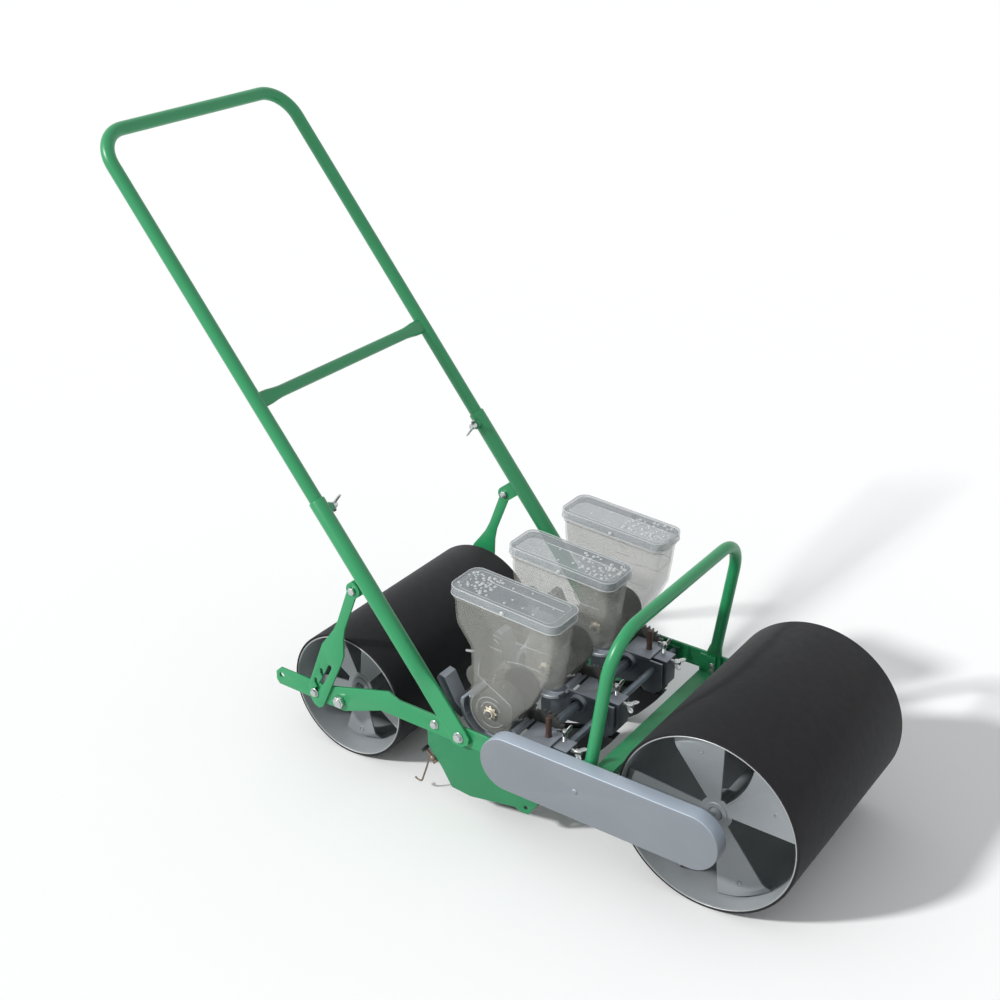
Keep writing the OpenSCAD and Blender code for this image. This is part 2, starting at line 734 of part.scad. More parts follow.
// Handle parts are drawn upright at the pivot and leaned back
module lean() {
  translate([-pivot_back, 0, bar_z]) rotate([0, -handle_lean, 0]) children();
}
flat_l = 78;
flat_w = 30;
flat_in = bar_out + 0.3;
flat_thin = 0.2;
tube_y = flat_in + flat_t / 2 - flat_thin;
lug_s = 228.7;
lug_off = 29.5;
lug_r = 11;
wing_s = collar_s - 16;
foot_pts = [
  [-flat_w / 2, 1], [-flat_w / 2, -4], [-5, -13], [7, -14], [flat_w / 2, -7], [flat_w / 2, 1]
];
module lower_tube(side) {
  color(green) flip(side) lean() difference() {
    union() {
      translate([0, tube_y, flat_l + 22]) cylinder(r = lower_r, h = collar_s - flat_l - 22);
      hull() {
        translate([0, tube_y, flat_l + 22]) cylinder(r = lower_r - 0.2, h = 2, $fn = 32);
        translate([-flat_w / 2, flat_in, flat_l]) cube([flat_w, flat_t - flat_thin, 0.2]);
      }
      translate([-flat_w / 2, flat_in, 0]) cube([flat_w, flat_t - flat_thin, flat_l]);
      sheet(foot_pts, flat_in, flat_in + flat_t - flat_thin);
      translate([-lug_off, strut_in - gap, lug_s]) rotate([90, 0, 0])
        cylinder(r = lug_r, h = 4);
      translate([-lug_off, strut_in - gap - 4, lug_s - lug_r]) cube([lug_off, 4, 2 * lug_r]);
      translate([0, tube_y, wing_s]) rotate([90, 0, 0]) cylinder(r = 7, h = lower_r + boss_l);
    }
    translate([0, tube_y, collar_s - insert_l - 110])
      cylinder(r = upper_r + 0.3, h = insert_l + 111);
    pin(0, 0, bolt_r + 1 + run_play, flat_in - 1, flat_in + flat_t + 1);
    pin(-lug_off, lug_s, bolt_r + run_play, strut_in - gap - 5, strut_in - gap + 1);
    translate([0, tube_y, wing_s]) rotate([90, 0, 0]) cylinder(r = 3 + run_play, h = 40);
  }
}

// Upper handle: one bent tube with a cross tube welded between its legs
leg_s = collar_s - insert_l;
module grip_path(r, ext) {
  for (side = [-1, 1]) flip(side) {
    translate([0, tube_y, leg_s - ext]) cylinder(r = r, h = handle_l - grip_bend - leg_s + ext);
    translate([0, tube_y - grip_bend, handle_l - grip_bend]) rotate([0, -90, 0])
      rotate_extrude(angle = 90) translate([grip_bend, 0]) circle(r = r);
    translate([0, 0, handle_l]) rotate([-90, 0, 0]) cylinder(r = r, h = tube_y - grip_bend);
  }
}
module upper_handle() {
  color(green) lean() {
    difference() {
      union() {
        grip_path(upper_r, 0);
        translate([0, tube_y, cross_s]) rotate([90, 0, 0]) cylinder(r = 7, h = 2 * tube_y);
      }
      grip_path(upper_r - tube_wall, 1);
    }
  }
}

// Strut: narrow bar that widens to a plate whose slanted slot hooks on the stud
strut_ratio = -0.827;
tilt_max = 15;
stud_shift = 8;
lug_back = pivot_back + lug_s * sin(handle_lean) + lug_off * cos(handle_lean);
lug_up = bar_z + lug_s * cos(handle_lean) - lug_off * sin(handle_lean);
to_stud = [lug_back + stud_x, rear_z - lug_up];
strut_l = norm(to_stud);
strut_turn = atan2(-to_stud[0], -to_stud[1]) - asin(stud_shift / strut_l);
// Place of the stud in the strut's own plane when the handle is tilted by t degrees
function turn(v, a) = [v[0] * cos(a) + v[1] * sin(a), -v[0] * sin(a) + v[1] * cos(a)];
function stud_path(t) =
  let (lug0 = [pivot_back - lug_back, lug_up - bar_z], lug = turn(lug0, -t),
       d = [stud_x + pivot_back, rear_z - bar_z] - lug)
  turn(d, t * (1 + strut_ratio) - strut_turn);
slot_r = stud_r + 0.6;
slot_end_r = slot_r + 0.1;
strut_pts = [
  [-8, -6], [-8, -62], [-10, -80], [-15, -98], [-20, -114], [-21, -strut_l + 4],
  [-15, -strut_l - 10], [-3, -strut_l - 19], [6, -strut_l - 19], [11, -strut_l - 12],
  [17, -124], [17, -108], [9, -84], [6, -66], [7, -6]
];
module strut(side) {
  steps = 6;
  path = [for (i = [0:steps]) stud_path(tilt_max * i / steps)];
  along = [for (i = [0:steps]) path[min(i + 1, steps)] - path[max(i - 1, 0)]];
  across = [for (d = along) unit2([-d[1], d[0]]) * slot_r];
  color(green) flip(side) translate([-lug_back, 0, lug_up]) rotate([0, strut_turn, 0])
    difference() {
      union() {
        sheet(strut_pts, strut_in, strut_in + strut_t);
        pin(0, 0, lug_r, strut_in, strut_in + strut_t);
      }
      pin(0, 0, bolt_r + run_play, strut_in - 1, strut_in + strut_t + 1);
      for (p = [path[0], path[steps]])
        pin(p[0], p[1], slot_end_r, strut_in - 1, strut_in + strut_t + 1);
      sheet(concat([for (i = [0:steps]) path[i] + across[i]],
                   [for (i = [steps:-1:0]) path[i] - across[i]]),
            strut_in - 1, strut_in + strut_t + 1);
      for (t = [4.6, 10.2]) {
        p = stud_path(t);
        for (hook = [[-4.3, -1.7], [-7.2, 0.6], [-8.8, 4.5]])
          pin(p[0] + hook[0], p[1] + hook[1], slot_r - 0.4, strut_in - 1, strut_in + strut_t + 1);
      }
    }
}

// Bolts that carry the struts on the lugs, with a head on both ends
module strut_bolts() {
  color(steel) for (side = [-1, 1]) flip(side) {
    x = -lug_back;
    pin(x, lug_up, bolt_r, strut_in - gap - 5.5, strut_in + strut_t + 0.3);
    translate([x, strut_in + strut_t + 0.3 + head_h, lug_up]) rotate([90, 0, 0])
      cylinder(r = head_r, h = head_h, $fn = 6);
    translate([x, strut_in - gap - 4, lug_up]) rotate([90, 0, 0])
      cylinder(r = head_r, h = head_h, $fn = 6);
  }
}

// Wing bolts that clamp the upper handle, pointing inward
boss_l = 5;
module wing_bolt(side) {
  lift = 1.5;
  head_y = tube_y - lower_r - boss_l - lift;
  color(steel) flip(side) lean() translate([0, head_y, wing_s]) rotate([90, 0, 0])
    wing_screw(tube_y - upper_r - 0.3 - head_y, 3, 13, 13);
}

// Bent wire that drags soil over the row, clamped by a knob at the plate's rear edge
wire_y = -bar_in + 1.5;
wire_a = [-402, 70];
wire_b = [-385, 56];
wire_foot = [-409, 14];
wire_r = 1.3;
module cover_wire() {
  along = wire_b - wire_a;
  dip = atan2(-along[1], along[0]);
  top = wire_a + along / 2;
  drop = top - wire_foot;
  color("#7a6f66") {
    translate([wire_a[0], wire_y, wire_a[1]]) rotate([0, 90 + dip, 0]) {
      translate([0, 0, -2]) cylinder(r = 6, h = 5);
      cylinder(r = 2.2, h = norm(along));
      translate([0, 0, norm(along) - 7]) cylinder(r = 4.5, h = 9);
    }
    translate([wire_foot[0], wire_y, wire_foot[1]]) {
      rotate([0, atan2(drop[0], drop[1]), 0]) cylinder(r = wire_r, h = norm(drop));
      translate([1, 0, 0]) rotate([0, -90, 0]) cylinder(r = wire_r + 0.1, h = 12);
    }
  }
}

place() side_bar(-1);  // side_bar_near
place() side_bar(1);  // side_bar_far
place() side_plate(-1);  // side_plate_near
place() side_plate(1);  // side_plate_far
place() cross_bar();
place() hoop();
place() clamp_rod();
place() chain_guard();
place() drive_chain();
place() frame_bolts();
place() axle_bushes();
place() rear_axle();
place() front_drum();
place() front_skin();
place() front_spiders();
place() front_axle();
place() front_sprocket();
place() rear_drum();
place() rear_skin();
place() rear_spiders();
place() seed_shaft();
place() driven_sprocket();
place() unit_bracket(1);  // unit_bracket_1
place() unit_bracket(2);  // unit_bracket_2
place() unit_bracket(3);  // unit_bracket_3
place() hopper(1);  // hopper_1
place() hopper(2);  // hopper_2
place() hopper(3);  // hopper_3
place() hopper_lid(1);  // hopper_lid_1
place() hopper_lid(2);  // hopper_lid_2
place() hopper_lid(3);  // hopper_lid_3
place() opener(1);  // opener_1
place() opener(2);  // opener_2
place() opener(3);  // opener_3
place() pinion(1);  // pinion_1
place() pinion(2);  // pinion_2
place() pinion(3);  // pinion_3
place() seed_roller(1);  // seed_roller_1
place() seed_roller(2);  // seed_roller_2
place() seed_roller(3);  // seed_roller_3
place() roller_nut(1);  // roller_nut_1
place() roller_nut(2);  // roller_nut_2
place() roller_nut(3);  // roller_nut_3
place() rod_screw(1);  // rod_screw_1
place() rod_screw(2);  // rod_screw_2
place() rod_screw(3);  // rod_screw_3
place() depth_screw(1);  // depth_screw_1
place() depth_screw(2);  // depth_screw_2
place() depth_screw(3);  // depth_screw_3
place() lower_tube(-1);  // lower_tube_near
place() lower_tube(1);  // lower_tube_far
place() upper_handle();
place() strut_bolts();
place() strut(-1);  // strut_near
place() strut(1);  // strut_far
place() wing_bolt(-1);  // wing_bolt_near
place() wing_bolt(1);  // wing_bolt_far
place() cover_wire();
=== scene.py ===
import math
import random

import bmesh
import bpy
from mathutils import Matrix, Quaternion, Vector


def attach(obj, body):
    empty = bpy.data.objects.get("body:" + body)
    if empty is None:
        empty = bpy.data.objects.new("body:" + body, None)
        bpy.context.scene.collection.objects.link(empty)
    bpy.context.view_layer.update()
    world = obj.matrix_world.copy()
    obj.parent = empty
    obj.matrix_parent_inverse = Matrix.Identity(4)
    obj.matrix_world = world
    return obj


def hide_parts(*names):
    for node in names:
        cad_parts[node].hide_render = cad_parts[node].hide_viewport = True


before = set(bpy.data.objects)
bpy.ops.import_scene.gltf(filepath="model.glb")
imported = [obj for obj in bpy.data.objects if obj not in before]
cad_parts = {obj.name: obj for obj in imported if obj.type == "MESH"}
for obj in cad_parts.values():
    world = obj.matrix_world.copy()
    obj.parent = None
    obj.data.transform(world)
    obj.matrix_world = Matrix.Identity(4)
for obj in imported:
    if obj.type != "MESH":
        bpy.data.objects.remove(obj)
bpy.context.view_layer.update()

# Camera and studio. The view of the photograph: from in front of the near side, a
# little above. The floor is pale matt paper, and the light is one soft high lamp at
# the left of the view with an even sky.
scene = bpy.context.scene
scene.view_settings.view_transform = "Standard"
eye = Vector((1.0185, -1.4781, 1.2674))
aim = Vector((-0.0035, 0.0, 0.3663))
camera_data = bpy.data.cameras.new("camera")
camera_data.lens = 55.57
camera_data.sensor_width = 36.0
camera = bpy.data.objects.new("camera", camera_data)
scene.collection.objects.link(camera)
camera.rotation_mode = "QUATERNION"
camera.location = eye
camera.rotation_quaternion = (aim - eye).to_track_quat("-Z", "Y") @ Quaternion((0, 0, 1), 0.0063)
scene.camera = camera


def linear(colour):
    """sRGB hex to linear RGBA."""
    parts = [int(colour[i:i + 2], 16) / 255 for i in (1, 3, 5)]
    return [c / 12.92 if c <= 0.04045 else ((c + 0.055) / 1.055) ** 2.4 for c in parts] + [1.0]


def add(tree, kind, settings=None, sockets=None):
    """Adds one node with its settings, socket values and links."""
    n = tree.nodes.new(kind)
    for key, value in (settings or {}).items():
        setattr(n, key, value)
    for key, value in (sockets or {}).items():
        if isinstance(value, bpy.types.NodeSocket):
            tree.links.new(value, n.inputs[key])
        else:
            n.inputs[key].default_value = value
    return n


def surface(name, **sockets):
    """A material with one Principled shader; returns the material, its tree and the shader."""
    made = bpy.data.materials.new(name)
    made.use_nodes = True
    tree = made.node_tree
    tree.nodes.clear()
    shader = add(tree, "ShaderNodeBsdfPrincipled", {}, {k.replace("_", " "): v for k, v in sockets.items()})
    add(tree, "ShaderNodeOutputMaterial", {}, {"Surface": shader.outputs["BSDF"]})
    return made, tree, shader


# Matt paper, white where the camera looks straight at it
paper, tree, shader = surface("matt_paper", Roughness=1.0)
shader.inputs["Base Color"].default_value = linear("#f8f8f7")
floor_mesh = bpy.data.meshes.new("floor")
floor_mesh.from_pydata([(-60, -60, -0.0006), (60, -60, -0.0006), (60, 60, -0.0006), (-60, 60, -0.0006)],
                       [], [(0, 1, 2, 3)])
floor_mesh.materials.append(paper)
floor = bpy.data.objects.new("floor", floor_mesh)
scene.collection.objects.link(floor)

world = bpy.data.worlds.new("studio")
scene.world = world
world.use_nodes = True
tree = world.node_tree
tree.nodes.clear()
path = add(tree, "ShaderNodeLightPath")
seen = add(tree, "ShaderNodeMath", {"operation": "MAXIMUM"},
           {0: path.outputs["Is Camera Ray"], 1: path.outputs["Is Transmission Ray"]})
seen = add(tree, "ShaderNodeMath", {"operation": "MAXIMUM"},
           {0: seen.outputs[0], 1: path.outputs["Is Glossy Ray"]})
sky = add(tree, "ShaderNodeBackground", {}, {"Color": linear("#f0f2f5"), "Strength": 0.62})
white = add(tree, "ShaderNodeBackground", {}, {"Color": (1, 1, 1, 1), "Strength": 1.0})
both = add(tree, "ShaderNodeMixShader", {}, {0: seen.outputs[0], 1: sky.outputs[0], 2: white.outputs[0]})
add(tree, "ShaderNodeOutputWorld", {}, {"Surface": both.outputs[0]})

sun = bpy.data.lights.new("high_lamp", "SUN")
sun.energy = 2.9
sun.angle = 0.09
sun_object = bpy.data.objects.new("high_lamp", sun)
sun_object.rotation_mode = "QUATERNION"
sun_object.rotation_quaternion = Vector((0.7, 1.0, -0.82)).to_track_quat("-Z", "Y")
scene.collection.objects.link(sun_object)

# Side bars: flat steel bars, sawn, bent and drilled, sprayed with gloss green
# enamel. They are bolted through to everything else, so they come first.
mm = 0.001
axle_x = 396.32  # millimetres from the middle of the machine to the front axle


def at(x, y, z):
    """A place given in millimetres from under the front axle, in the row frame."""
    return Vector(((x + axle_x) * mm, y * mm, z * mm))


def textured(tree, scale_mm, detail=3.0, rough=0.55, stretch=(1, 1, 1)):
    """A noise whose grain has a real size in millimetres."""
    place = add(tree, "ShaderNodeTexCoord").outputs["Object"]
    spread = add(tree, "ShaderNodeMapping", {}, {"Vector": place, "Scale": stretch})
    return add(tree, "ShaderNodeTexNoise", {}, {"Vector": spread.outputs[0], "Scale": 1000 / scale_mm,
                                                "Detail": detail, "Roughness": rough}).outputs["Fac"]


def tinted(tree, shader, factor, low, high):
    """The base colour runs between two hex colours."""
    mix = add(tree, "ShaderNodeMix", {"data_type": "RGBA"}, {0: factor, 6: linear(low), 7: linear(high)})
    tree.links.new(mix.outputs[2], shader.inputs["Base Color"])


def shine(tree, shader, factor, low, high):
    """The roughness runs between two values."""
    spread = add(tree, "ShaderNodeMapRange", {}, {"Value": factor, "To Min": low, "To Max": high})
    tree.links.new(spread.outputs[0], shader.inputs["Roughness"])


def dimpled(tree, shader, height, depth_mm, strength=1.0):
    """Bump of a real depth."""
    bump = add(tree, "ShaderNodeBump", {},
               {"Height": height, "Distance": depth_mm * mm, "Strength": strength})
    tree.links.new(bump.outputs[0], shader.inputs["Normal"])


# Gloss enamel, sprayed: an even green with a fine orange peel and a soft gloss
green_enamel, tree, shader = surface("green_enamel", Specular_IOR_Level=0.5)
patches = textured(tree, 60)
tinted(tree, shader, patches, "#218552", "#288f5a")
shine(tree, shader, textured(tree, 25), 0.28, 0.42)
dimpled(tree, shader, textured(tree, 3.5, 1.0), 0.05, 0.5)
# The lower plates: the same paint, duller, and darker as painted shade for the shadow under the bars
shaded_plate_enamel, tree, shader = surface("green_enamel_painted_shade", Specular_IOR_Level=0.4)
tinted(tree, shader, textured(tree, 60), "#1e7349", "#247b50")
shine(tree, shader, textured(tree, 25), 0.4, 0.52)
dimpled(tree, shader, textured(tree, 3.5, 1.0), 0.05, 0.5)


def finished(name, shape, finish, body, stands_for=(), smooth=38):
    """Makes an object from a bmesh, smooth below that angle, and fixes it to its body."""
    mesh = bpy.data.meshes.new(name)
    shape.to_mesh(mesh)
    shape.free()
    mesh.materials.clear()
    mesh.materials.append(finish)
    mesh.polygons.foreach_set("use_smooth", [True] * len(mesh.polygons))
    mesh.set_sharp_from_angle(angle=math.radians(smooth))
    piece = bpy.data.objects.new(name, mesh)
    scene.collection.objects.link(piece)
    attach(piece, body)
    if stands_for:
        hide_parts(*stands_for)
    return piece


def softened(node, width=0.5, angle=32, segments=2):
    """A copy of a CAD node, merged, with its flat faces joined and its sharp edges rounded."""
    shape = bmesh.new()
    shape.from_mesh(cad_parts[node].data)
    bmesh.ops.remove_doubles(shape, verts=shape.verts, dist=2e-6)
    bmesh.ops.dissolve_limit(shape, angle_limit=math.radians(0.6), verts=shape.verts, edges=shape.edges)
    if width:
        sharp = [e for e in shape.edges
                 if len(e.link_faces) == 2 and e.calc_face_angle(0) > math.radians(angle)]
        bmesh.ops.bevel(shape, geom=sharp, offset=width * mm, segments=segments, profile=0.5,
                        affect="EDGES", clamp_overlap=False)
    bmesh.ops.triangulate(shape, faces=[f for f in shape.faces if len(f.verts) > 4])
    return shape


for side in ("near", "far"):
    finished("bar_" + side, softened("side_bar_" + side, 0.6), green_enamel, "frame",
             ["side_bar_" + side])
    # the plates take the darker enamel: painted shade from the bars above them
    finished("plate_" + side, softened("side_plate_" + side, 0.4), shaded_plate_enamel, "frame",
             ["side_plate_" + side])

# Cross bar: folded steel strip with end tabs, sprayed with the frame's enamel, and
# bolted between the side bars by the same bolts that hold the hoop.
finished("folded_cross_bar", softened("cross_bar", 0.4), green_enamel, "frame", ["cross_bar"])

# Hoop: one length of steel tube, bent over the front of the machine, its ends
# pressed flat and bolted inside the bars. Same enamel.


def arc_path(corners, radius, steps=14):
    """Points along straight runs with rounded corners, in millimetres."""
    points = [Vector(corners[0])]
    for before, corner, after in zip(corners, corners[1:], corners[2:]):
        corner = Vector(corner)
        a, b = (Vector(before) - corner).normalized(), (Vector(after) - corner).normalized()
        half = a.angle(b) / 2
        middle = corner + (a + b).normalized() * (radius / math.sin(half))
        start, end = corner + a * radius / math.tan(half), corner + b * radius / math.tan(half)
        for i in range(steps + 1):
            turn = (start - middle).rotation_difference(end - middle)
            points.append(middle + Quaternion().slerp(turn, i / steps) @ (start - middle))
    points.append(Vector(corners[-1]))
    return points


def skinned(shape, path, sections, across, rings=28):
    """Adds a skin along a path in millimetres; a section is (half width, half thickness, squareness)."""
    loops = []
    for i, p in enumerate(path):
        run = (path[min(i + 1, len(path) - 1)] - path[max(i - 1, 0)]).normalized()
        wide = (Vector(across) - run * Vector(across).dot(run)).normalized()
        thick = run.cross(wide)
        half_w, half_t, square = sections[i] if isinstance(sections, list) else sections
        loop = []
        for k in range(rings):
            c, s = math.cos(2 * math.pi * k / rings), math.sin(2 * math.pi * k / rings)
            u = math.copysign(abs(c) ** (2 / square), c) * half_w
            v = math.copysign(abs(s) ** (2 / square), s) * half_t
            loop.append(shape.verts.new(at(*(p + wide * u + thick * v))))
        loops.append(loop)
    for a, b in zip(loops, loops[1:]):
        for k in range(rings):
            shape.faces.new((a[k], a[(k + 1) % rings], b[(k + 1) % rings], b[k]))
    shape.faces.new(list(reversed(loops[0])))
    shape.faces.new(loops[-1])
    bmesh.ops.recalc_face_normals(shape, faces=shape.faces)
    return shape


hoop_lean = math.radians(7.4)
hoop_up = Vector((math.sin(hoop_lean), 0, math.cos(hoop_lean)))
hoop_y = 161.7  # middle of the tube, from the middle of the machine
hoop_foot = Vector((-151.58, hoop_y, 152))
hoop_top = hoop_foot + hoop_up * (177 / math.cos(hoop_lean))
hoop_shape = bmesh.new()
hoop_bolts_x = -156
flat_leg = [(hoop_bolts_x, 165, 105.5), (hoop_bolts_x, 165, 112), (hoop_bolts_x, 165, 131.5),
            (-155.2, 164.6, 136), (-154.2, 163.6, 141), (-153, 162.4, 147)]
leg = [Vector(p) for p in flat_leg] + [hoop_foot, hoop_foot + hoop_up * 8]
flat_part = [(11, 2, 9), (11, 2, 9), (11, 2.1, 9), (10.8, 3.2, 5), (10, 5, 3.2), (8.9, 6.8, 2.4),
             (8.1, 7.9, 2.05), (8, 8, 2)]
top = arc_path([hoop_foot + hoop_up * 10, hoop_top, hoop_top - Vector((0, hoop_y, 0))], 55)
left_leg = leg + top
mirrored = [Vector((p.x, -p.y, p.z)) for p in reversed(left_leg[:-1])]
widths = flat_part + [(8, 8, 2)] * len(top)
skinned(hoop_shape, left_leg + mirrored, widths + list(reversed(widths[:-1])), (1, 0, 0))
finished("bent_hoop", hoop_shape, green_enamel, "frame", ["hoop"])
# Front and rear roller: rolled steel drums with a black rubber skin glued on, and a
# pressed, dished end of five wedge spokes welded into each end.


def turned(shape, profile, x, z, steps=128):
    """Adds a ring turned about the Y axis at (x, z); the profile is a closed loop of (radius, y)."""
    loops = []
    for i in range(steps):
        c, s = math.cos(2 * math.pi * i / steps), math.sin(2 * math.pi * i / steps)
        loops.append([shape.verts.new(at(x + r * c, y, z + r * s)) for r, y in profile])
    n = len(profile)
    made = []
    for i in range(steps):
        a, b = loops[i], loops[(i + 1) % steps]
        for k in range(n):
            made.append(shape.faces.new((a[k], a[(k + 1) % n], b[(k + 1) % n], b[k])))
    bmesh.ops.remove_doubles(shape, verts=[v for loop in loops for v in loop], dist=1e-6)
    bmesh.ops.recalc_face_normals(shape, faces=[f for f in made if f.is_valid])
    return shape


def rounded_ring(r_in, r_out, y0, y1, radius=0.8, steps=3):
    """Profile of a ring of rectangular section with rounded corners."""
    points = []
    for cr, cy, start in ((r_out - radius, y1 - radius, 0), (r_in + radius, y1 - radius, 90),
                          (r_in + radius, y0 + radius, 180), (r_out - radius, y0 + radius, 270)):
        for i in range(steps + 1):
            a = math.radians(start + 90 * i / steps)
            points.append((cr + radius * math.cos(a), cy + radius * math.sin(a)))
    return points


# Rubber sheet, calendered: nearly black with a faint violet bloom, dull, finely grained
rubber, tree, shader = surface("black_rubber", Specular_IOR_Level=0.22, Sheen_Weight=0.05,
                               Sheen_Roughness=0.5)
tinted(tree, shader, textured(tree, 45, 4.0), "#121214", "#19191d")
shine(tree, shader, textured(tree, 12), 0.62, 0.8)
dimpled(tree, shader, textured(tree, 1.6, 2.0), 0.12, 0.5)
# Silver-grey paint on pressed steel: satin, slightly mottled
silver_paint, tree, shader = surface("silver_grey_paint", Metallic=0.25)
tinted(tree, shader, textured(tree, 35), "#808588", "#8c9194")
shine(tree, shader, textured(tree, 18), 0.4, 0.55)
dimpled(tree, shader, textured(tree, 4, 1.0), 0.06, 0.5)
# Inside of the drum: rolled sheet in grey paint, paler than the spokes as painted light for the sun inside
# it; dull and a little uneven
lit_drum_paint, tree, shader = surface("drum_paint_painted_light", Metallic=0.2)
tinted(tree, shader, textured(tree, 50), "#8e9396", "#a1a6a8")
shine(tree, shader, textured(tree, 22), 0.45, 0.62)
dimpled(tree, shader, textured(tree, 5, 1.0), 0.06, 0.5)
# Bare rolled edge of the drum: bright worn steel
worn_steel, tree, shader = surface("worn_steel", Metallic=1.0)
tinted(tree, shader, textured(tree, 6), "#a3a5a6", "#bcbebe")
shine(tree, shader, textured(tree, 3), 0.35, 0.55)


spoke_hub_r = 13.0  # the spokes' inner end, in millimetres
hub_depth = 30.0  # how far the inner end lies inside the drum's end
fold_r = 3.2  # the bend between a spoke's panel and its rim fold


def spoke_sheet(shape, x, z, r_in, half_w, side, angle, ear, inset):
    """One wedge spoke, a dished panel with a rim fold. Ear is the width in degrees of its creased first
    edge at the rim, and inset is how far inside the drum's end the rim lies, in millimetres."""
    rim_y = half_w - inset
    stations = [(spoke_hub_r + (r_in - fold_r - spoke_hub_r) * i / 16, 0.0) for i in range(17)]
    stations += [(r_in - fold_r + fold_r * math.sin(a), fold_r * (1 - math.cos(a)))
                 for a in (0.52, 1.05, 1.57)]
    stations += [(r_in, 8.0), (r_in, 15.0)]
    grid = []
    for rho, drop in stations:
        t = max(0.0, min(1.0, (rho - spoke_hub_r) / (r_in - spoke_hub_r)))
        hub_half, rim_half = 6.5, r_in * math.sin(math.radians(18.2))
        half = math.asin(min(0.95, (hub_half + (rim_half - hub_half) * t) / rho))
        y = rim_y - (hub_depth - inset) * (1 - t) - drop
        row = []
        for k in range(9):
            share = k / 4 - 1
            crease = r_in if ear else r_in - 4.5 + 7.5 * share
            bent = 0.0 if drop else max(0.0, rho - crease) * 0.7
            deeper = 7 * (0.5 - share * 0.5) if drop and not ear else 0.0
            row.append((rho, half * share, y - bent - deeper))
        if ear and rho > 20:
            back = math.radians(ear) * t
            fold = 15 if ear < 10 else -5  # a narrow ear is folded in, a wide one stands out
            row = [(rho, -half - back * q, y - fold * t * q) for q in (1.0, 0.66, 0.33)] + row
        elif ear:
            row = [(rho, -half, y)] * 3 + row
        grid.append(row)
    verts = []
    for row in grid:
        line = []
        for rho, a, y in row:
            b = math.radians(angle) + a
            line.append(shape.verts.new(at(x + rho * math.sin(b), side * y, z + rho * math.cos(b))))
        verts.append(line)
    faces = []
    for a, b in zip(verts, verts[1:]):
        for k in range(len(a) - 1):
            faces.append(shape.faces.new((a[k], a[k + 1], b[k + 1], b[k])))
    return faces


def spider(name, x, z, r_in, half_w, first, axle_r, spokes, node, body):
    """Both ends of a roller, with hub tubes, hub washers and a small pressed ring in each spoke. A spoke
    is (turn in degrees, ear, inset)."""
    shape = bmesh.new()
    for side in (-1, 1):
        faces = []
        for i, (turn, ear, inset) in enumerate(spokes):
            faces += spoke_sheet(shape, x, z, r_in - 1.2, half_w, side, first + 72 * i + turn, ear, inset)
        for f in faces:
            f.normal_update()
            if f.normal.y * side < -0.2:
                f.normal_flip()
        bmesh.ops.recalc_face_normals(shape, faces=faces)
    bmesh.ops.remove_doubles(shape, verts=shape.verts, dist=1e-6)
    sheets = bpy.data.meshes.new("sheets")
    shape.to_mesh(sheets)
    shape.free()
    holder = bpy.data.objects.new("sheets", sheets)
    scene.collection.objects.link(holder)
    wall = holder.modifiers.new("wall", "SOLIDIFY")
    wall.thickness = 2.0 * mm
    wall.offset = 0
    wall.use_even_offset = True
    graph = bpy.context.evaluated_depsgraph_get()
    shape = bmesh.new()
    shape.from_mesh(bpy.data.meshes.new_from_object(holder.evaluated_get(graph)))
    bpy.data.objects.remove(holder)
    tube_end = half_w - 26
    hub_tube = rounded_ring(axle_r + 0.3, 15, tube_end - 34, tube_end, 1.2)
    hub_washer = rounded_ring(axle_r + 0.4, 21, tube_end - 4.5, tube_end - 1.5, 0.8)
    ring_place = r_in * 0.82
    for side in (-1, 1):
        turned(shape, [(r, side * y) for r, y in hub_tube], x, z, 48)
        turned(shape, [(r, side * y) for r, y in hub_washer], x, z, 48)
        for i, (turn, ear, inset) in enumerate(spokes):
            b = math.radians(first + 72 * i + turn)
            t = (ring_place - spoke_hub_r) / (r_in - spoke_hub_r)
            y = half_w - inset - (hub_depth - inset) * (1 - t)
            cx, cz = x + ring_place * math.sin(b), z + ring_place * math.cos(b)
            turned(shape, [(0.01, side * (y + 0.6)), (2.2, side * (y + 0.7)), (3.0, side * (y + 1.9)),
                           (3.8, side * (y + 1.5)), (4.4, side * (y + 0.2)), (0.01, side * (y + 0.1))],
                   cx, cz, 20)
    return finished(name, shape, silver_paint, body, [node], smooth=11)


front_spokes = ((0, 0, 7), (1, 15, 7), (22, 0, 24), (16, 0, 24), (-10, 8, 10))
rear_spokes = ((0, 0, 22), (7, 0, 26), (12, 0, 31), (4, 8, 31), (6, 0, 28))
front_r, rear_r = 120, 92
rear_axle_x = -541
for word, x, r, half_w, first, axle_r, spokes, body in (
        ("front", 0, front_r, 153, -11, 8, front_spokes, "front_roller"),
        ("rear", rear_axle_x, rear_r, 156, 26, 6, rear_spokes, "rear_roller")):
    z = r  # a roller stands on the ground
    shape = turned(bmesh.new(), rounded_ring(r - 3.0, r, -half_w, half_w, 1.3), x, z, 160)
    finished(word + "_rubber_skin", shape, rubber, body, [word + "_skin"])
    drum = rounded_ring(r - 5.2, r - 3.05, -half_w + 1.2, half_w - 1.2, 0.4)
    finished(word + "_steel_drum", turned(bmesh.new(), drum, x, z, 160), lit_drum_paint, body,
             [word + "_drum"])
    shape = bmesh.new()
    rim = rounded_ring(r - 4.9, r - 3.2, half_w - 4, half_w + 0.2, 0.6)
    for side in (-1, 1):
        turned(shape, [(p, side * q) for p, q in rim], x, z, 160)
    finished(word + "_drum_rims", shape, worn_steel, body)
    spider(word + "_spoke_ends", x, z, r - 5.2, half_w, first, axle_r, spokes, word + "_spiders", body)

# Handle: two lower tubes whose feet are pressed flat, and one long upper tube bent
# to a grip, which slides in them and is held by wing bolts. Steel tube, enamelled.
lean = math.radians(39.4)
pivot_x, pivot_z = -340, 118
tube_y = 173.6  # the tubes' middle lines, from the middle of the machine
wing_up = 335  # the wing bolts, up from the pivot


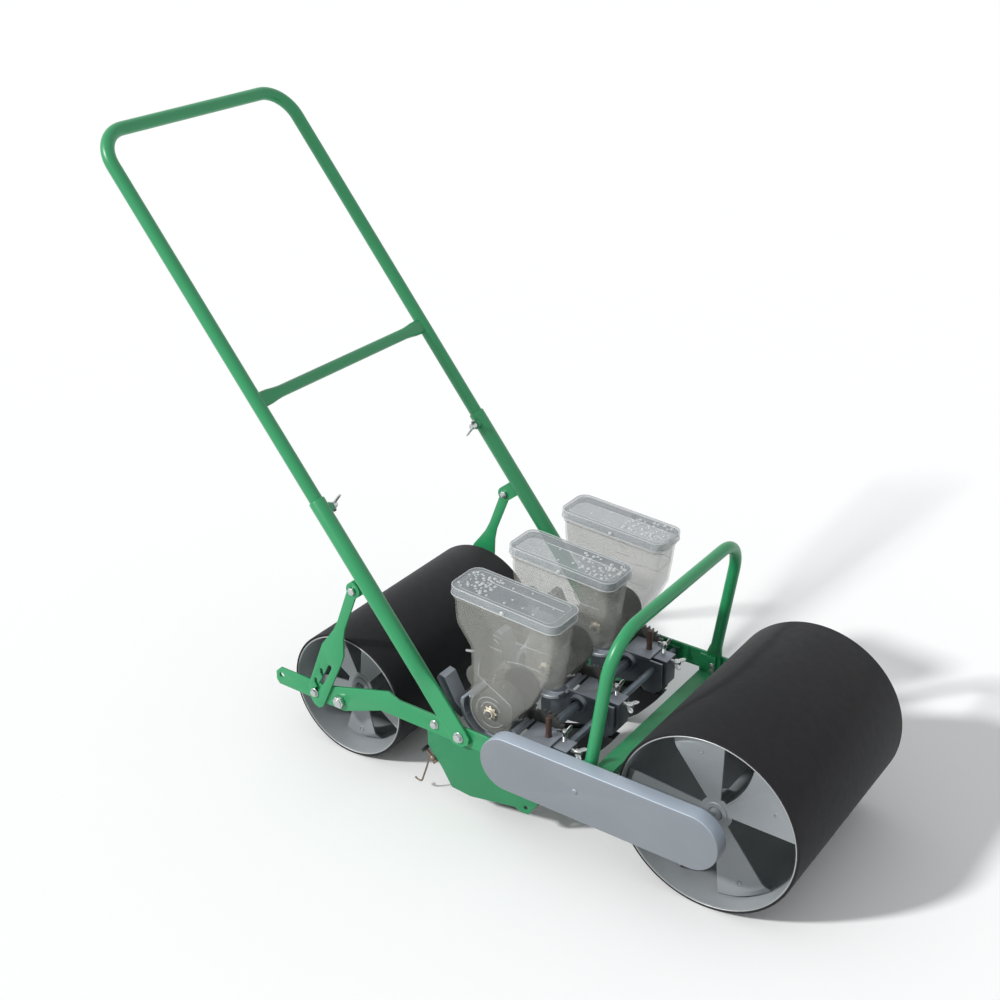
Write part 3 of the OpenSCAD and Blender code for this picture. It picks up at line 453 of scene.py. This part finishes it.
def leaned(along, out, y):
    """A place on the handle: distance up from the pivot, distance forward of its line, and y."""
    return Vector((pivot_x - along * math.sin(lean) + out * math.cos(lean), y,
                   pivot_z + along * math.cos(lean) + out * math.sin(lean)))


def flat_plate(shape, outline, side, y_out, y_in):
    """A flat plate on the handle; the outline is (distance up, distance forward) in millimetres."""
    outer = [shape.verts.new(at(*leaned(s, o, side * y_out))) for s, o in outline]
    inner = [shape.verts.new(at(*leaned(s, o, side * y_in))) for s, o in outline]
    shape.faces.new(outer)
    shape.faces.new(list(reversed(inner)))
    for i in range(len(outline)):
        j = (i + 1) % len(outline)
        shape.faces.new((outer[i], inner[i], inner[j], outer[j]))


handle_across = leaned(0, 1, 0) - leaned(0, 0, 0)
handle_up = leaned(1, 0, 0) - leaned(0, 0, 0)
lug_up, lug_r = 228.7, 11
for side, word in ((-1, "near"), (1, "far")):
    shape = bmesh.new()
    flat_y = tube_y + 0.1
    rows = [(1, flat_y, 15, 2.5, 9), (30, flat_y, 15, 2.5, 9),
            (66, flat_y, 15, 2.5, 9), (74, flat_y, 14.6, 3.4, 5), (82, flat_y, 13.6, 5.6, 3.2),
            (91, tube_y, 12.2, 8.6, 2.4), (100, tube_y, 11.2, 10.8, 2.05), (108, tube_y, 11, 11, 2),
            (349.5, tube_y, 11, 11, 2), (350.6, tube_y, 10.4, 10.4, 2), (351, tube_y, 9.6, 9.6, 2)]
    skinned(shape, [leaned(s, 0, side * y) for s, y, *_ in rows], [(w, t, q) for *_, w, t, q in rows],
            handle_across, 36)
    # cut corners of the flat foot, lug plate for the strut and boss of the wing bolt
    foot = [(1.5, -15), (-4, -15), (-13, -5), (-14, 7), (-7, 15), (1.5, 15)]
    flat_plate(shape, foot, side, 176.2, 171.2)
    half_turn = [math.pi * (i / 12 - 0.5) for i in range(13)]
    lug = [(lug_up + lug_r * math.sin(a), -29.5 - lug_r * math.cos(a)) for a in half_turn]
    flat_plate(shape, [(lug_up - lug_r, -4)] + lug + [(lug_up + lug_r, -4)], side, 170.8, 167.2)
    skinned(shape, [leaned(wing_up, 0, side * y) for y in (168, 159, 158, 157.7)],
            [(7, 7, 2), (7, 7, 2), (6.4, 6.4, 2), (5.6, 5.6, 2)], handle_across, 24)
    bmesh.ops.recalc_face_normals(shape, faces=shape.faces)
    finished("lower_handle_" + word, shape, green_enamel, "handle_base",
             ["lower_tube_" + word])

shape = bmesh.new()
ends_up, grip_up = 202, 888
grip = arc_path([leaned(ends_up, 0, -tube_y), leaned(grip_up, 0, -tube_y),
                 leaned(grip_up, 0, tube_y), leaned(ends_up, 0, tube_y)], 45)
skinned(shape, grip, (9, 9, 2), handle_across, 32)
# the cross tube, flattened towards both of its ends, where it is welded to the sides
half_rows = [(129, 8, 8, 2), (140, 8.9, 6.9, 2.2), (150, 10.2, 5.6, 2.6), (160, 10.6, 5.0, 3),
             (168, 9.6, 5.0, 3)]
rows = [(-y, a, b, c) for y, a, b, c in reversed(half_rows)] + half_rows
cross_up = 496
skinned(shape, [leaned(cross_up, 0, y) for y, *_ in rows], [(a, b, c) for _, a, b, c in rows], handle_up, 28)
finished("upper_handle_tube", shape, green_enamel, "handle_top", ["upper_handle"])

# Struts: laser-cut steel plates with a slanted slot and two hooked notches, which
# set the handle's tilt. They hang from bolts on the lower tubes. Same enamel.
for word in ("near", "far"):
    finished("slotted_strut_" + word, softened("strut_" + word, 0.4), green_enamel, "strut_" + word,
             ["strut_" + word])

# Frame bolts: zinc-plated hexagon bolts with washers, through the bars and plates, and
# the nuts behind the feet of the hoop.

# Bright zinc plate on the bolts, the screws and the rear axle: light, a little cloudy
zinc_plate, tree, shader = surface("zinc_plate", Metallic=1.0)
tinted(tree, shader, textured(tree, 8, 3.0), "#b4b8ba", "#d0d2d2")
shine(tree, shader, textured(tree, 4), 0.2, 0.38)
dimpled(tree, shader, textured(tree, 1.5, 2.0), 0.03, 0.4)


def scattered(name, points, prototype, finish, body, stands_for=(), smooth=38):
    """Geometry Nodes puts a small shape on points; each point is (place in mm, direction, turn, size)."""
    cloud = bpy.data.meshes.new(name + "_points")
    cloud.from_pydata([at(*p[0]) for p in points], [], [])
    cloud.attributes.new("turn", "FLOAT_VECTOR", "POINT")
    cloud.attributes.new("size", "FLOAT", "POINT")
    for i, (_, direction, spin, scale) in enumerate(points):
        q = Vector(direction).to_track_quat("Z", "Y") @ Quaternion((0, 0, 1), math.radians(spin))
        cloud.attributes["turn"].data[i].vector = q.to_euler("XYZ")
        cloud.attributes["size"].data[i].value = scale
    source = bpy.data.objects.new(name + "_source", bpy.data.meshes.new(name + "_source"))
    prototype.to_mesh(source.data)
    prototype.free()
    scene.collection.objects.link(source)
    holder = bpy.data.objects.new(name + "_holder", cloud)
    scene.collection.objects.link(holder)
    tree = bpy.data.node_groups.new(name + "_copies", "GeometryNodeTree")
    for title, kind in (("Points", "NodeSocketGeometry"), ("Shape", "NodeSocketObject"),
                        ("Overall size", "NodeSocketFloat"), ("Finish", "NodeSocketMaterial")):
        tree.interface.new_socket(name=title, in_out="INPUT", socket_type=kind)
    tree.interface.new_socket(name="Geometry", in_out="OUTPUT", socket_type="NodeSocketGeometry")
    group = add(tree, "NodeGroupInput")
    shape = add(tree, "GeometryNodeObjectInfo", {}, {"Object": group.outputs["Shape"], "As Instance": True})
    spin = add(tree, "GeometryNodeInputNamedAttribute", {"data_type": "FLOAT_VECTOR"}, {"Name": "turn"})
    grow = add(tree, "GeometryNodeInputNamedAttribute", {"data_type": "FLOAT"}, {"Name": "size"})
    both = add(tree, "ShaderNodeMath", {"operation": "MULTIPLY"},
               {0: grow.outputs[0], 1: group.outputs["Overall size"]})
    way = add(tree, "FunctionNodeEulerToRotation", {}, {0: spin.outputs[0]})
    copies = add(tree, "GeometryNodeInstanceOnPoints", {}, {
        "Points": group.outputs["Points"], "Instance": shape.outputs["Geometry"],
        "Rotation": way.outputs[0], "Scale": both.outputs[0]})
    real = add(tree, "GeometryNodeRealizeInstances", {}, {"Geometry": copies.outputs[0]})
    paint = add(tree, "GeometryNodeSetMaterial", {},
                {"Geometry": real.outputs[0], "Material": group.outputs["Finish"]})
    add(tree, "NodeGroupOutput", {}, {"Geometry": paint.outputs[0]})
    maker = holder.modifiers.new("copies", "NODES")
    maker.node_group = tree
    sockets = {s.name: s.identifier for s in tree.interface.items_tree if s.in_out == "INPUT"}
    maker[sockets["Shape"]] = source
    maker[sockets["Overall size"]] = 1.0
    maker[sockets["Finish"]] = finish
    graph = bpy.context.evaluated_depsgraph_get()
    plain = bpy.data.meshes.new_from_object(holder.evaluated_get(graph))
    shape = bmesh.new()
    shape.from_mesh(plain)
    holder.modifiers.remove(maker)
    for o in (holder, source):
        bpy.data.objects.remove(o)
    bpy.data.meshes.remove(plain)
    return finished(name, shape, finish, body, stands_for, smooth)


def upright(shape, profile, steps=24):
    """A small turned shape about Z for scattering; the profile runs from the foot to the top in mm."""
    turns = [2 * math.pi * i / steps for i in range(steps)]
    loops = [[shape.verts.new(Vector((r * math.cos(t), r * math.sin(t), h)) * mm) for t in turns]
             for r, h in profile]
    for a, b in zip(loops, loops[1:]):
        for i in range(steps):
            shape.faces.new((a[i], a[(i + 1) % steps], b[(i + 1) % steps], b[i]))
    shape.faces.new(list(reversed(loops[0])))
    shape.faces.new(loops[-1])
    return shape


def bolt_head(head_r, head_h, washer_r, washer_h):
    """A washer, and a six-sided head with a domed, chamfered top."""
    shape = upright(bmesh.new(), [(washer_r - 0.2, 0), (washer_r, 0.2), (washer_r, washer_h - 0.3),
                                  (washer_r - 0.3, washer_h)], 32)
    sides = []
    corners = [math.radians(60 * i) for i in range(6)]
    for scale, h in ((0.97, washer_h), (1.0, washer_h + 0.3), (1.0, washer_h + head_h * 0.72)):
        r = head_r * scale
        sides.append([shape.verts.new(Vector((r * math.cos(t), r * math.sin(t), h)) * mm) for t in corners])
    for a, b in zip(sides, sides[1:]):
        for i in range(6):
            shape.faces.new((a[i], a[(i + 1) % 6], b[(i + 1) % 6], b[i]))
    shape.faces.new(list(reversed(sides[0])))
    shape.faces.new(sides[-1])
    upright(shape, [(head_r * 0.86, washer_h + head_h * 0.7), (head_r * 0.8, washer_h + head_h * 0.86),
                    (head_r * 0.6, washer_h + head_h * 0.97), (0.3, washer_h + head_h)], 24)
    return shape


plate_bolt_x, tail_bolt_x = -382, -583
hoop_bolts_z = (109, 117)
bolts = []
for s in (-1, 1):
    bolts += [((plate_bolt_x, s * 171, pivot_z), (0, s, 0), 12, 1.0),
              ((tail_bolt_x, s * 175.1, rear_r), (0, s, 0), 25, 1.0),
              ((pivot_x, s * 176.4, pivot_z), (0, s, 0), 40, 1.16)]
head = bolt_head(5.2, 3.5, 6.4, 1.0)
scattered("frame_bolt_heads", bolts, head, zinc_plate, "frame", ["frame_bolts"])
shape = bmesh.new()
shanks = [(plate_bolt_x, pivot_z, 2.9, 163, 171), (tail_bolt_x, rear_r, 2.4, 167, 175.2),
          (pivot_x, pivot_z, 3.9, 161, 176.5)]
shanks += [(hoop_bolts_x, z, 2.4, 159.8, 171) for z in hoop_bolts_z]
for s in (-1, 1):
    for x, z, r, y0, y1 in shanks:
        turned(shape, [(p, s * q) for p, q in ((0.01, y0), (r, y0), (r, y1), (0.01, y1))], x, z, 24)
finished("bolt_shanks", shape, zinc_plate, "frame")
nuts = [((hoop_bolts_x, s * 160, z), (0, -s, 0), 10 + z, 0.66) for s in (-1, 1) for z in hoop_bolts_z]
scattered("hoop_foot_nuts", nuts, bolt_head(6.0, 4.0, 6.6, 0.6), zinc_plate, "frame")

# Chain guard: a deep-drawn steel pan over the chain, light grey paint, held by one
# slotted screw. Its rounded edge shows as a pale line.


def dust_and_top_light(tree, shader, sides, top, share):
    """Colours a surface paler on the faces that look upward, dust and painted light from above; share is how
    much of it they take.
    """
    facing = add(tree, "ShaderNodeSeparateXYZ", {}, {0: add(tree, "ShaderNodeTexCoord").outputs["Normal"]})
    upward = add(tree, "ShaderNodeMapRange", {},
                 {"Value": facing.outputs[2], "From Min": 0.1, "From Max": 0.7, "To Max": share})
    dust_and_light_mix = add(tree, "ShaderNodeMix", {"data_type": "RGBA"}, {0: upward.outputs[0], 6: sides, 7: linear(top)})
    tree.links.new(dust_and_light_mix.outputs[2], shader.inputs["Base Color"])


# Sprayed paint, satin and slightly cloudy; its edge that faces up is made paler, a painted highlight for the
# light on its top
guard_paint, tree, shader = surface("light_grey_paint", Metallic=0.1)
cloudy = add(tree, "ShaderNodeMix", {"data_type": "RGBA"},
             {0: textured(tree, 70), 6: linear("#747a80"), 7: linear("#7f858b")})
dust_and_top_light(tree, shader, cloudy.outputs[2], "#b4c0ce", 0.75)
shine(tree, shader, textured(tree, 25), 0.3, 0.42)
dimpled(tree, shader, textured(tree, 4, 1.0), 0.05, 0.5)
finished("chain_guard_pan", softened("chain_guard", 1.1, 40, 3), guard_paint, "frame",
         ["chain_guard"])
shape = upright(bmesh.new(), [(4.9, 0), (5.0, 0.4), (4.4, 1.0), (3.0, 1.4), (0.4, 1.6)], 32)
bmesh.ops.create_cube(shape, size=1.0, matrix=Matrix.Diagonal((7 * mm, 0.9 * mm, 0.5 * mm, 1)))
guard_screw = [((hoop_bolts_x, -191.7, 123), (0, -1, 0), 35, 0.8)]
scattered("guard_screw", guard_screw, shape, guard_paint, "frame")

# Clamp rod, shafts, axles and the chain drive: drawn steel bars, cut and threaded at
# their ends, brass bushes pressed into the bars, and an oiled roller chain behind the
# guard. They are kept as the solids show them, with their edges eased.

# Drawn steel bar with the dull blue-grey skin of cheap plating, darker than the screws
dull_bar, tree, shader = surface("dull_plated_bar", Metallic=0.6)
tinted(tree, shader, textured(tree, 14, 3.0), "#66717b", "#848e97")
shine(tree, shader, textured(tree, 6), 0.35, 0.5)
# Brass, turned: warm yellow-grey
brass, tree, shader = surface("turned_brass", Metallic=0.7)
tinted(tree, shader, textured(tree, 6), "#d5cab0", "#ece5d6")
shine(tree, shader, textured(tree, 5), 0.25, 0.4)
# Oiled roller chain and sprockets: dark steel
oiled_steel, tree, shader = surface("oiled_steel", Metallic=0.9)
tinted(tree, shader, textured(tree, 7), "#3d3e40", "#55575a")
shine(tree, shader, textured(tree, 5), 0.3, 0.5)
for node, body, finish, slot_name in (("clamp_rod", "frame", dull_bar, "zinc_steel"),
                                      ("rear_axle", "frame", zinc_plate, "zinc_steel"),
                                      ("seed_shaft", "seed_drive", dull_bar, "zinc_steel"),
                                      ("front_axle", "front_roller", silver_paint, "zinc_steel"),
                                      ("axle_bushes", "frame", brass, "dark_steel"),
                                      ("front_sprocket", "front_roller", oiled_steel, "dark_steel"),
                                      ("driven_sprocket", "seed_drive", oiled_steel, "dark_steel"),
                                      ("drive_chain", "frame", oiled_steel, "dark_steel"),
                                      ("strut_bolts", "handle_base", zinc_plate, "zinc_steel")):
    finished(node + "_plain", softened(node, 0.3), finish, body, [node])

# Seeding units: a grey die-cast bracket with a round housing hangs on the clamp rod
# and on the six-sided shaft. It is bare zinc alloy, dull blue-grey, with a sandy
# skin where it was not machined. The clear hopper sits down in the housing.

# Die-cast zinc alloy with its sandy skin: dull blue-grey, paler on the faces that look up, dust and painted
# light from above
cast_zinc, tree, shader = surface("die_cast_zinc", Metallic=0.4)
grain = textured(tree, 28, 4.0)
mottled = add(tree, "ShaderNodeMix", {"data_type": "RGBA"},
              {0: grain, 6: linear("#464d54"), 7: linear("#586068")})
dust_and_top_light(tree, shader, mottled.outputs[2], "#9aa0a9", 0.9)
shine(tree, shader, textured(tree, 9), 0.38, 0.55)
dimpled(tree, shader, textured(tree, 1.8, 3.0), 0.18, 0.6)
# The same alloy, paler along the housing's lip: a painted highlight
lip_highlight_zinc, tree, shader = surface("die_cast_zinc_painted_highlight", Metallic=0.4)
tinted(tree, shader, textured(tree, 10, 4.0), "#858c94", "#a3a9ae")
shine(tree, shader, textured(tree, 6), 0.3, 0.5)
# Injection-moulded clear plastic, gone smoky: soft gloss, pale edges, grey-beige body
smoky_plastic, tree, shader = surface("smoky_clear_plastic", IOR=1.49, Alpha=0.25)
tinted(tree, shader, textured(tree, 40), "#9e9e98", "#acaca7")
shine(tree, shader, textured(tree, 20), 0.16, 0.3)
dimpled(tree, shader, textured(tree, 14, 1.0), 0.15, 0.4)
# The lids are the same plastic, newer and thinner: clearer, bluer and glossier
lid_plastic, tree, shader = surface("clear_lid_plastic", IOR=1.49, Alpha=0.4)
tinted(tree, shader, textured(tree, 30), "#9aa2a6", "#b2b8bb")
shine(tree, shader, textured(tree, 15), 0.08, 0.2)
dimpled(tree, shader, textured(tree, 10, 1.0), 0.15, 0.5)
# Pressed plastic edges and dots: the same plastic, clearer and whiter, a painted highlight for the light they
# catch
highlight_plastic, tree, shader = surface("clear_plastic_painted_highlight", IOR=1.49, Alpha=0.55)
tinted(tree, shader, textured(tree, 12), "#d3d7d8", "#e6e8e8")
shine(tree, shader, textured(tree, 8), 0.1, 0.2)
# Moulded ribs on the hoppers: a little paler than the shell, a painted highlight along them
rib_highlight_plastic, tree, shader = surface("clear_plastic_ribs_painted_highlight", IOR=1.49, Alpha=0.32)
tinted(tree, shader, textured(tree, 12), "#cfd2d1", "#e0e2e0")
shine(tree, shader, textured(tree, 8), 0.15, 0.25)
# Dull black paint on the hopper's dark disc and the wire's knob; on the blind holes the black is painted
# shade
black_paint_and_hole_shade, tree, shader = surface("black_paint_and_painted_hole_shade")
tinted(tree, shader, textured(tree, 12, 4.0), "#1c1d1f", "#34363a")
shine(tree, shader, textured(tree, 8), 0.3, 0.55)
# Openers: black paint on the shoe, brown oxide on the unpainted shank above it
shank_oxide, tree, shader = surface("oxide_and_shoe_paint")
height = add(tree, "ShaderNodeSeparateXYZ", {}, {0: add(tree, "ShaderNodeTexCoord").outputs["Object"]})
above = add(tree, "ShaderNodeMapRange", {}, {"Value": height.outputs[2], "From Min": 0.08, "From Max": 0.09})
scuffs = add(tree, "ShaderNodeMix", {"data_type": "RGBA"},
             {0: textured(tree, 12, 4.0), 6: linear("#1c1d1f"), 7: linear("#34363a")})
oxide = add(tree, "ShaderNodeMix", {"data_type": "RGBA"},
            {0: above.outputs[0], 6: scuffs.outputs[2], 7: linear("#4d3a33")})
tree.links.new(oxide.outputs[2], shader.inputs["Base Color"])
shine(tree, shader, textured(tree, 8), 0.3, 0.55)
# Moulded nylon gears and seed rollers, grey with age and dull
nylon, tree, shader = surface("moulded_nylon")
tinted(tree, shader, textured(tree, 15), "#4e4f4d", "#626360")
shine(tree, shader, textured(tree, 10), 0.4, 0.55)

row_pitch = 126.4
seed_x, seed_z = -307.93, 154.71  # the seed rollers' axis
tip = math.radians(3.1)


def tipped(x, y, z):
    """A place on a hopper, which is tipped forward about its seed roller."""
    c, s = math.cos(tip), math.sin(tip)
    return Vector((seed_x + (x - seed_x) * c + (z - seed_z) * s, y,
                   seed_z - (x - seed_x) * s + (z - seed_z) * c))


def rounded_loop(half_l, half_w, radius, z):
    """A closed path round a hopper or its lid, not yet tipped, about the row's middle plane."""
    middle_x = -298.9
    points = []
    for cx, cy, start in ((half_l - radius, half_w - radius, 0), (radius - half_l, half_w - radius, 90),
                          (radius - half_l, radius - half_w, 180), (half_l - radius, radius - half_w, 270)):
        for i in range(7):
            a = math.radians(start + 15 * i)
            points.append((cx + middle_x + radius * math.cos(a), cy + radius * math.sin(a), z))
    return points + points[:1]


def bead(shape, points, half, across=(0, 1, 0)):
    """A thin raised line along points in millimetres."""
    return skinned(shape, [Vector(p) for p in points], (half, half, 2), across, 8)


def bubbles(n, low, high, count, extra):
    """Bubble-like dots on the lid of row n, between two places along it, with their sizes."""
    rng = random.Random(40 + n)
    kept = []
    while len(kept) < count:
        x, y, size = rng.uniform(low, high), rng.uniform(-22, 22), rng.uniform(0.55, 1.15)
        if all(math.hypot(x - p[0], y - p[1]) > 2.3 * (size + p[2]) for p in kept):
            kept.append((x, y, size))
    up = (math.sin(tip), 0, math.cos(tip))
    return [(tipped(x, (n - 2) * row_pitch + y, 318.95), up, 0, size) for x, y, size in kept + extra]


for n in (1, 2, 3):
    y_row = (n - 2) * row_pitch
    unit = f"unit_{n}"
    finished(f"cast_bracket_{n}", softened(f"unit_bracket_{n}", 0.6), cast_zinc, unit,
             [f"unit_bracket_{n}"])
    # the rounded lip of the housing, paler as a painted highlight, and two blind holes in the face plate,
    # drawn as black discs of painted shade
    arc = [math.radians(170 + 136 * i / 40) for i in range(41)]
    lip_r = 41.7
    lip = [Vector((seed_x + lip_r * math.cos(t), y_row - 28.0, seed_z + lip_r * math.sin(t))) for t in arc]
    shape = skinned(bmesh.new(), lip, (1.2, 2.5, 2.6), (0, 1, 0), 14)
    finished(f"housing_lip_{n}", shape, lip_highlight_zinc, unit)
    # the blind holes are flat black discs: painted shade for the holes
    shape = bmesh.new()
    for x, z in ((-278, 128.5), (-278, 120.5)):
        turned(shape, [(r, y_row - y) for r, y in ((0.01, 23.25), (1.7, 23.25), (1.9, 22.9), (0.01, 22.8))],
               x, z, 20)
    finished(f"blind_holes_{n}", shape, black_paint_and_hole_shade, unit)
    # hopper: the moulded shell with its step, marks, arcs and peg, paler as painted highlight, and the dark
    # insert inside
    finished(f"clear_hopper_{n}", softened(f"hopper_{n}", 0.5), smoky_plastic, unit,
             [f"hopper_{n}"])
    shape = bmesh.new()
    half_step = [(-272, 24, 270.6), (-234, 24, 270.2), (-226, 22.6, 269.6), (-221, 18, 269.2),
                 (-219.4, 12, 269)]
    step = [(x, y_row - y, z) for x, y, z in half_step]
    step += [(x, y_row + y, z) for x, y, z in reversed(half_step)]
    bead(shape, step, 0.55, (0, 0, 1))
    for s in (-1, 1):
        y = y_row + s * 24.05
        for x0, z0, x1, z1 in ((-306, 271.4, -293, 268.4), (-304, 264.4, -294.5, 260.4),
                               (-310, 251.4, -290.5, 250.8), (-284, 239.5, -262, 243.2),
                               (-262, 243.2, -234, 242.2)):
            bead(shape, [(x0, y, z0), (x1, y, z1)], 0.5)
        for radius, a0, a1 in ((30.6, 150, 262), (21.5, 60, 200), (21.5, 235, 330), (14.5, 20, 170)):
            turns = [math.radians(a0 + (a1 - a0) * i / 18) for i in range(19)]
            arc = [(seed_x + radius * math.cos(t), y, seed_z + radius * math.sin(t)) for t in turns]
            bead(shape, arc, 0.55)
        # this line follows the glints along the round part's edge: a painted highlight
        crease = ((-325.5, 222), (-327.5, 204), (-316, 196), (-309.6, 193), (-296, 186), (-276.5, 175.5))
        bead(shape, [(x, y, z) for x, z in crease], 0.6)
    bead(shape, [(-337, y_row - 21, 233.5), (-347, y_row - 22.5, 232)], 1.7)
    finished(f"hopper_ribs_{n}", shape, rib_highlight_plastic, unit)
    shape = turned(bmesh.new(), rounded_ring(0.01, 27, y_row + 17.6, y_row + 20.6, 0.9), -289, 178.4, 64)
    finished(f"hopper_insert_{n}", shape, black_paint_and_hole_shade, unit)
    # lid: a shallow clear tray with edge beads, a thin ridge and bubble-like dots, made whiter as painted
    # highlight
    finished(f"clear_lid_{n}", softened(f"hopper_lid_{n}", 0.9, 32, 3), lid_plastic, f"lid_{n}",
             [f"hopper_lid_{n}"])
    shape = bmesh.new()
    for half_l, half_w, radius, z, half in ((79.4, 30.4, 14.1, 318.6, 0.6), (79.9, 30.9, 14.6, 307.5, 0.65),
                                            (70, 25.5, 9, 318.9, 0.35)):
        edge = [tipped(x, y_row + y, z) for x, y, z in rounded_loop(half_l, half_w, radius, z)]
        bead(shape, edge, half, (0, 0, 1))
    bead(shape, [tipped(x, y_row + 9, 319) for x in (-340, -300, -262, -232)], 0.55, (0, 0, 1))
    finished(f"lid_edges_{n}", shape, highlight_plastic, f"lid_{n}")
    dot = upright(bmesh.new(), [(2.6, 0), (2.5, 0.35), (2.0, 0.75), (1.2, 1.05), (0.25, 1.15)], 14)
    if n == 1:
        strays = [(-296, -8, 0.7), (-300, -20, 0.8), (-276, -16, 0.6), (-262, -4, 0.55), (-258, -20, 0.7),
                  (-246, 6, 0.5), (-285, 20, 0.6), (-310, 14, 0.7)]
        dots = bubbles(n, -372, -326, 46, strays)
    else:
        dots = bubbles(n, -288, -226, 44, [(-318, 6, 0.6), (-338, -12, 0.5), (-305, -18, 0.7)])
    scattered(f"lid_bubbles_{n}", dots, dot, highlight_plastic, f"lid_{n}", (), 60)
    shape = upright(bmesh.new(), [(3.2, 0), (3.0, 0.8), (2.2, 1.5), (1.0, 1.9), (0.2, 2.0)], 18)
    clips = [(tipped(-296, y_row + s * 30.8, 310.5), (0, s, 0), 0, 1.0) for s in (-1, 1)]
    scattered(f"lid_clip_{n}", clips, shape, highlight_plastic, f"lid_{n}", (), 60)
    # the furrow opener, the gear pair's two wheels and the brass nut on the seed roller's shaft
    finished(f"shoe_{n}", softened(f"opener_{n}", 0.5), shank_oxide, f"opener_{n}",
             [f"opener_{n}"])
    finished(f"small_gear_{n}", softened(f"pinion_{n}", 0.15), nylon, f"pinion_{n}", [f"pinion_{n}"])
    finished(f"seed_wheel_{n}", softened(f"seed_roller_{n}", 0.15), nylon, f"metering_{n}",
             [f"seed_roller_{n}"])
    finished(f"brass_nut_{n}", softened(f"roller_nut_{n}", 0.3), brass, f"metering_{n}",
             [f"roller_nut_{n}"])


# Wing screws: zinc die-cast heads with two rounded ears on threaded steel stems. Two
# clamp the handle's tubes, and each unit has one for its place and one for its depth.


def wing_head(shape, origin, axis, ears, stem_l, stem_r, ear_l, ear_h):
    """A wing head in millimetres; axis points away from the stem, and ears lies along the two wings."""
    axis, ears = Vector(axis).normalized(), Vector(ears).normalized()
    origin = Vector(origin)
    stations = [(-stem_l, stem_r), (-stem_l + 0.4, stem_r)]
    pitch, k = 1.0, 0
    while -stem_l + 0.8 + k * pitch / 2 < -1.0:
        stations.append((-stem_l + 0.8 + k * pitch / 2, stem_r if k % 2 else stem_r - 0.35))
        k += 1
    stations += [(0, stem_r), (0.1, stem_r + 2.2), (ear_h * 0.35, stem_r + 1.9), (ear_h * 0.62, stem_r + 0.9),
                 (ear_h * 0.68, stem_r)]
    skinned(shape, [origin + axis * h for h, _ in stations], [(r, r, 2) for _, r in stations], ears, 16)
    for s in (-1, 1):
        path = [(stem_r * 0.4, ear_h * 0.22), (ear_l * 0.35, ear_h * 0.32), (ear_l * 0.62, ear_h * 0.52),
                (ear_l * 0.84, ear_h * 0.72), (ear_l * 0.96, ear_h * 0.9), (ear_l, ear_h)]
        wide = [(1.7, 3.4, 2.2), (1.45, 3.3, 2.2), (1.3, 3.4, 2.2), (1.25, 3.3, 2.2), (1.15, 2.4, 2.0),
                (0.8, 1.2, 2.0)]
        skinned(shape, [origin + ears * s * a + axis * b for a, b in path], wide, axis.cross(ears), 16)
    return shape


for side, word in ((-1, "near"), (1, "far")):
    shape = wing_head(bmesh.new(), leaned(wing_up, 0, side * 156.1), (0, -side, 0),
                      handle_across + handle_up * 0.6, 8.2, 2.9, 13, 13)
    finished("handle_wing_bolt_" + word, shape, zinc_plate, "wing_bolt_" + word,
             ["wing_bolt_" + word])
for n in (1, 2, 3):
    y_row = (n - 2) * row_pitch
    shape = wing_head(bmesh.new(), (-217, y_row + 7, 139), (0, 0, 1), (0.5, 1, 0), 16, 2.4, 10, 12)
    finished(f"rod_wing_screw_{n}", shape, zinc_plate, f"rod_screw_{n}", [f"rod_screw_{n}"])
    shape = wing_head(bmesh.new(), (-195, y_row, 127.3), (1, 0, 0), (0, 1, 0.4), 37, 2.4, 9, 12)
    finished(f"depth_wing_screw_{n}", shape, zinc_plate, f"depth_screw_{n}",
             [f"depth_screw_{n}"])

# Covering wire: a spring-steel wire with a small foot, clamped by a ribbed knob and
# a brown collar at the rear edge of the near plate.

# Spring steel gone brown in the weather: dull, with lighter rubbed patches
brown_steel, tree, shader = surface("tarnished_steel", Metallic=0.7)
tinted(tree, shader, textured(tree, 5), "#5f564e", "#8d7d6e")
shine(tree, shader, textured(tree, 4), 0.3, 0.5)
wire_y = -165.5
end_a, end_b = Vector((-402, wire_y, 70)), Vector((-385, wire_y, 56))
run = (end_b - end_a).normalized()
shape = bmesh.new()
stations = [(2.9, 2.2), (13.2, 2.2), (13.4, 3.6), (14.6, 4.4), (18.5, 4.4), (19, 3.4), (20, 3.4),
            (20.4, 4.4), (23.4, 4.4), (24, 3.8)]
skinned(shape, [end_a + run * s for s, _ in stations], [(r, r, 2) for _, r in stations], (0, 1, 0), 24)
bends = ((-399.5, 42), (-407.6, 17), (-409, 14.6), (-411.5, 13.6), (-416, 14.2), (-419.5, 16.2))
drop = [end_a + run * 10.5] + [Vector((x, wire_y, z)) for x, z in bends]
skinned(shape, drop, (1.25, 1.25, 2), (0, 1, 0), 12)
finished("row_cover_wire", shape, brown_steel, "cover_wire", ["cover_wire"])
stations = [(-2, 4.6)] + [(-1.7 + 0.55 * k, 6.0 if k % 2 else 5.3) for k in range(9)] + [(3, 4.6)]
shape = skinned(bmesh.new(), [end_a + run * s for s, _ in stations], [(r, r, 2) for _, r in stations],
                (0, 1, 0), 28)
finished("wire_knob", shape, black_paint_and_hole_shade, "cover_wire")
